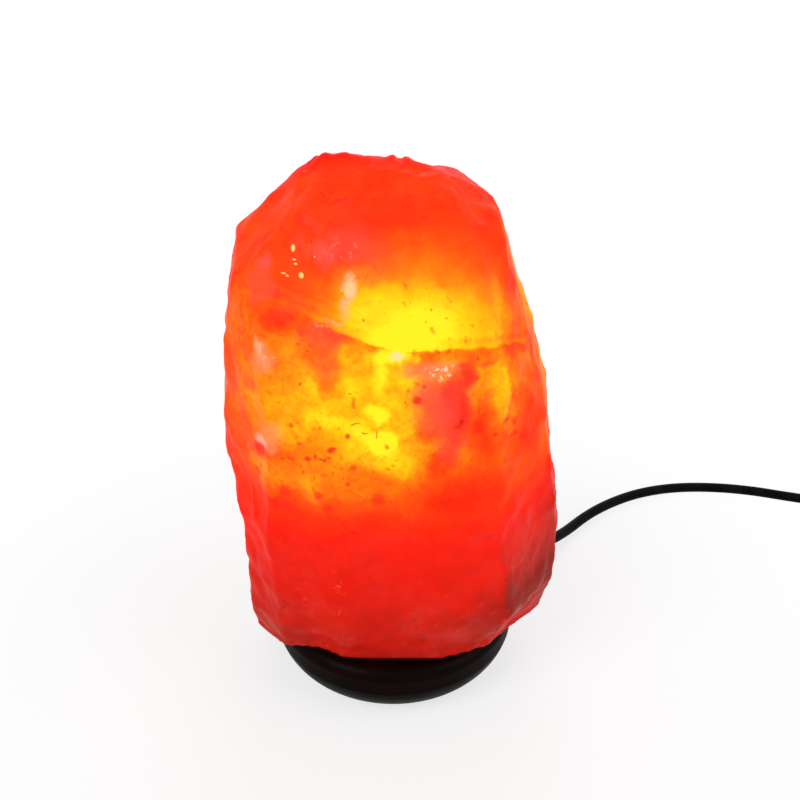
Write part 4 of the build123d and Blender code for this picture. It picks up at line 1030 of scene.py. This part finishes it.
ribRings = {
    "holderRibs": {
        "finish": "holder_plastic", "body": "base",
        "Count": 44, "Radius": 0.01298, "Bottom": 0.0480, "Length": 0.0195, "Width": 0.0008,
    },
}
threadTurns = {
    "capThread": {
        "finish": "nickel", "body": "bulb",
        "Turns": 4.0, "Radius": 0.00668, "Bottom": 0.0600, "Height": 0.0105, "Ridge": 0.00042,
    },
    "nippleThread": {
        "finish": "zinc_steel", "body": "base",
        "Turns": 10.0, "Radius": 0.00478, "Bottom": 0.0262, "Height": 0.0100, "Ridge": 0.00030,
    },
}
gripRows = {
    "plugGrip": {
        "finish": "black_plastic", "body": "base",
        "Count": 6, "Spacing": 0.0026, "Length": 0.0190, "Width": 0.0011, "End Share": 0.68,
        "Ridge Turn": (math.radians(90), 0, 0), "Place": (0.2225, -0.1169, 0.0136),
        "Turn": (0, 0, math.radians(10)),
    },
}
for name, across in (("switchGripRight", 0.014), ("switchGripLeft", -0.014)):
    gripRows[name] = {
        "finish": "black_plastic", "body": "base",
        "Count": 9, "Spacing": 0.0022, "Length": 0.0100, "Width": 0.0010, "End Share": 1.0,
        "Ridge Turn": (0, 0, 0), "Place": bySwitch(0, across),
        "Turn": (0, 0, math.radians(leadShape["switchHeading"])),
    }


def newGrower(name, inputs):
    inputs = {**inputs, "Material": ["Material"]}
    return newTree("GeometryNodeTree", name, inputs, {"Geometry": ["Geometry"]})


# First output of a geometry node
def grown(kind, inputs, tree=None):
    return addNode("GeometryNode" + kind, inputs, tree).outputs[0]


# Moves the shape, makes it real and gives it its finish
def endGrower(enter, leave, shape, place, turn=(0, 0, 0)):
    moved = grown("Transform", {"Geometry": shape, "Translation": place, "Rotation": turn})
    smooth = grown("SetShadeSmooth", {"Geometry": grown("RealizeInstances", {"Geometry": moved})})
    give(leave["Geometry"], grown("SetMaterial", {"Geometry": smooth, "Material": enter["Material"]}))
    return shape.id_data


def combined(**axes):
    return addNode("ShaderNodeCombineXYZ", axes).outputs[0]


# A round bar along Z, as wide and as long as the tree's inputs say
def roundBar(enter):
    inputs = {"Vertices": 8, "Radius": times(enter["Width"], 0.5), "Depth": enter["Length"]}
    return grown("MeshCylinder", inputs)


# Upright round ribs on a circle
def makeRibRing():
    inputs = {"Int": ["Count"], "Float": ["Radius", "Bottom", "Length", "Width"]}
    tree, enter, leave = newGrower("ribRing", inputs)
    circle = grown("MeshCircle", {"Vertices": enter["Count"], "Radius": enter["Radius"]})
    ring = grown("InstanceOnPoints", {"Points": circle, "Instance": roundBar(enter)})
    height = plus(enter["Bottom"], times(enter["Length"], 0.5))
    return endGrower(enter, leave, ring, combined(Z=height))


# A ridge that winds up a cylinder
def makeThread():
    inputs = {"Float": ["Turns", "Radius", "Bottom", "Height", "Ridge"]}
    tree, enter, leave = newGrower("threadTurns", inputs)
    spiral = grown("CurveSpiral", {
        "Resolution": 32, "Rotations": enter["Turns"], "Start Radius": enter["Radius"],
        "End Radius": enter["Radius"], "Height": enter["Height"],
    })
    profile = grown("CurvePrimitiveCircle", {"Resolution": 8, "Radius": enter["Ridge"]})
    ridge = grown("CurveToMesh", {"Curve": spiral, "Profile Curve": profile, "Fill Caps": True})
    return endGrower(enter, leave, ridge, combined(Z=enter["Bottom"]))


# A row of round ridges, shorter towards one end, placed and turned as a whole
def makeGripRow():
    inputs = {
        "Int": ["Count"], "Float": ["Spacing", "Length", "Width", "End Share"],
        "Vector": ["Ridge Turn", "Place", "Turn"],
    }
    tree, enter, leave = newGrower("gripRow", inputs)
    gaps = minus(enter["Count"], 1.0)
    start = combined(X=times(gaps, enter["Spacing"], -0.5))
    step = combined(X=enter["Spacing"])
    line = grown("MeshLine", {"Count": enter["Count"], "Start Location": start, "Offset": step})
    share = maths("DIVIDE", grown("InputIndex", {}, tree), gaps)
    size = combined(X=1.0, Y=1.0, Z=between(share, 1.0, enter["End Share"]))
    turn, whole = (addNode("FunctionNodeEulerToRotation", {0: enter[key]}).outputs[0]
                   for key in ("Ridge Turn", "Turn"))
    row = grown("InstanceOnPoints", {
        "Points": line, "Instance": roundBar(enter), "Rotation": turn, "Scale": size,
    })
    return endGrower(enter, leave, row, enter["Place"], whole)


def outwards(mesh):
    work = bmesh.new()
    work.from_mesh(mesh)
    bmesh.ops.recalc_face_normals(work, faces=work.faces)
    work.to_mesh(mesh)
    work.free()


def growPiece(name, tree, values):
    seed = addObject(name + "Seed", bpy.data.meshes.new(name + "Seed"))
    grower = seed.modifiers.new("grow", "NODES")
    grower.node_group = tree
    given = {**values, "Material": finishes[values["finish"]]}
    for item in tree.interface.items_tree:
        if item.in_out == "INPUT":
            grower[item.identifier] = given[item.name]
    piece = meshFrom(seed, name)
    outwards(piece.data)
    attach(piece, values["body"])


for shapes, tree in ((ribRings, makeRibRing()), (threadTurns, makeThread()), (gripRows, makeGripRow())):
    for name, values in shapes.items():
        growPiece(name, tree, values)
print("ribs, threads and grips grown")


# Fabric tie round the coil, drawn close about its turns

tieShape = {
    "width": 0.0095,
    "thickness": 0.0008,
    "slack": 0.0004,
    "lowest": 0.0001,
    "pointsRound": 24,
    # the loose end: shares of the way round where it starts and ends, its width, its lift in thicknesses
    "lap": (0.30, 0.62),
    "lapWidth": 0.0085,
    "lapLift": 0.9,
}


# The outline that a taut band takes round some points
def tautOutline(points):
    points = sorted(set(points))
    chains = []
    for order in (points, points[::-1]):
        chain = []
        for point in order:
            while len(chain) > 1:
                (ax, ay), (bx, by) = chain[-2], chain[-1]
                if (bx - ax) * (point[1] - ay) - (by - ay) * (point[0] - ax) > 0:
                    break
                chain.pop()
            chain.append(point)
        chains.append(chain[:-1])
    return chains[0] + chains[1]


def makeBand(name, outline, middle, width, closed):
    count = len(outline)
    low, high = middle - width / 2, middle + width / 2
    vertices, faces = [], []
    for n, (x, z) in enumerate(outline):
        before = outline[n - 1] if closed or n > 0 else outline[0]
        after = outline[(n + 1) % count] if closed or n < count - 1 else outline[-1]
        way = Vector((after[0] - before[0], after[1] - before[1])).normalized() * tieShape["thickness"]
        outX, outZ = x + way.y, max(z - way.x, tieShape["lowest"])
        vertices += [(x, low, z), (x, high, z), (outX, high, outZ), (outX, low, outZ)]
    for n in range(count if closed else count - 1):
        a, b = 4 * n, 4 * ((n + 1) % count)
        for k in range(4):
            faces.append((a + k, a + (k + 1) % 4, b + (k + 1) % 4, b + k))
    if not closed:
        last = 4 * (count - 1)
        faces += [(0, 1, 2, 3), (last + 3, last + 2, last + 1, last)]
    mesh = bpy.data.meshes.new(name)
    mesh.from_pydata(vertices, [], faces)
    outwards(mesh)
    mesh.materials.append(finishes["felt"])
    piece = addObject(name, mesh)
    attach(piece, "base")
    return piece


def makeTie(tie):
    x0, y0 = leadShape["coilCentre"]
    radius = leadShape["diameter"] / 2
    lower = leadShape["lowerHalfTurns"]
    reach = radius + tie["slack"] - tie["thickness"] / 2
    around = []
    for k in range(1, lower + leadShape["upperHalfTurns"] + 1, 2):
        height = radius if k <= lower else radius + leadShape["coilPitch"]
        for step in range(tie["pointsRound"]):
            angle = 2 * math.pi * step / tie["pointsRound"]
            x = x0 - coilReach(leadShape, k) + reach * math.cos(angle)
            z = max(height + reach * math.sin(angle), tie["lowest"])
            around.append((round(x, 6), round(z, 6)))
    outline = tautOutline(around)
    first, last = (int(len(outline) * share) for share in tie["lap"])
    lap = [(x, z + tie["thickness"] * tie["lapLift"]) for x, z in outline[first:last]]
    return [makeBand("coilTie", outline, y0, tie["width"], True),
            makeBand("coilTieEnd", lap, y0, tie["lapWidth"], False)]


coilTies = makeTie(tieShape)
print("coil tied")


def finishCords():
    for cord in (leadCord, mainCord):
        cord.data.materials.append(finishes["black_cord"])
        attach(cord, "base")
    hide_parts("cord_lead")
    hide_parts("cord_link", "cord_coil", "cord_tail", "switch_cord_ends")
    bySwitch(half)


finishCords()


# Floor, backdrop and light

studio = {
    "floorSize": 8.0,
    "floorDrop": 0.0003,
    "floorColour": (0.92, 0.92, 0.92),
    "white": (1, 1, 1),
    # near the lamp the floor keeps its shadow; further off it turns white
    "whiteShare": (0.70, 1.0),
    "whiteFade": (0.09, 0.30),
    "worldStrength": 0.45,
    "aim": (0, 0, 0.12),
    # place, size and power
    "lamps": {
        "keyLight": ((-0.75, -0.75, 1.05), 0.7, 8.0),
        "fillLight": ((0.95, -0.35, 0.75), 0.9, 5.0),
        "backLight": ((0.15, 1.0, 0.9), 0.8, 5.0),
    },
}


# An empty node tree, with 1 where the camera sees the surface itself, in a mirror or through glass
def emptyTree(owner):
    owner.use_nodes = True
    tree = owner.node_tree
    tree.nodes.clear()
    rays = addNode("ShaderNodeLightPath", tree=tree).outputs
    names = ("Is Camera Ray", "Is Glossy Ray", "Is Transmission Ray")
    return tree, maths("MAXIMUM", *(rays[name] for name in names))


def mixShaders(share, first, second, output):
    mixed = addNode("ShaderNodeMixShader", {0: share, 1: first, 2: second}).outputs[0]
    addNode(output, {"Surface": mixed})


def makeFloor():
    mesh = bpy.data.meshes.new("floor")
    reach = studio["floorSize"] / 2
    corners = [(-reach, -reach), (reach, -reach), (reach, reach), (-reach, reach)]
    mesh.from_pydata([(x, y, -studio["floorDrop"]) for x, y in corners], [], [(0, 1, 2, 3)])
    floor = addObject("floor", mesh)
    material = bpy.data.materials.new("paleFloor")
    tree, seen = emptyTree(material)
    distance = vectorMaths("LENGTH", addNode("ShaderNodeTexCoord", tree=tree).outputs["Object"])
    share = mapRange(ease(distance, *studio["whiteFade"]), 0.0, 1.0, *studio["whiteShare"])
    matte = addNode("ShaderNodeBsdfDiffuse", {"Color": studio["floorColour"]}, tree).outputs[0]
    white = addNode("ShaderNodeEmission", {"Color": studio["white"], "Strength": 1.0}, tree).outputs[0]
    mixShaders(times(share, seen), matte, white, "ShaderNodeOutputMaterial")
    mesh.materials.append(material)


def makeWorld():
    world = bpy.data.worlds.new("paleStudio")
    tree, seen = emptyTree(world)
    lights = []
    for strength in (studio["worldStrength"], 1.0):
        inputs = {"Color": studio["white"], "Strength": strength}
        lights.append(addNode("ShaderNodeBackground", inputs, tree).outputs[0])
    mixShaders(seen, *lights, "ShaderNodeOutputWorld")
    bpy.context.scene.world = world


def makeLamp(name, place, size, power):
    data = bpy.data.lights.new(name, "AREA")
    data.shape = "SQUARE"
    data.size = size
    data.energy = power
    lamp = addObject(name, data)
    lamp.location = place
    lamp.rotation_euler = (Vector(studio["aim"]) - Vector(place)).to_track_quat("-Z", "Y").to_euler()


makeFloor()
makeWorld()
for name, row in studio["lamps"].items():
    makeLamp(name, *row)
bpy.context.scene.view_settings.view_transform = "Standard"
print("studio lit")
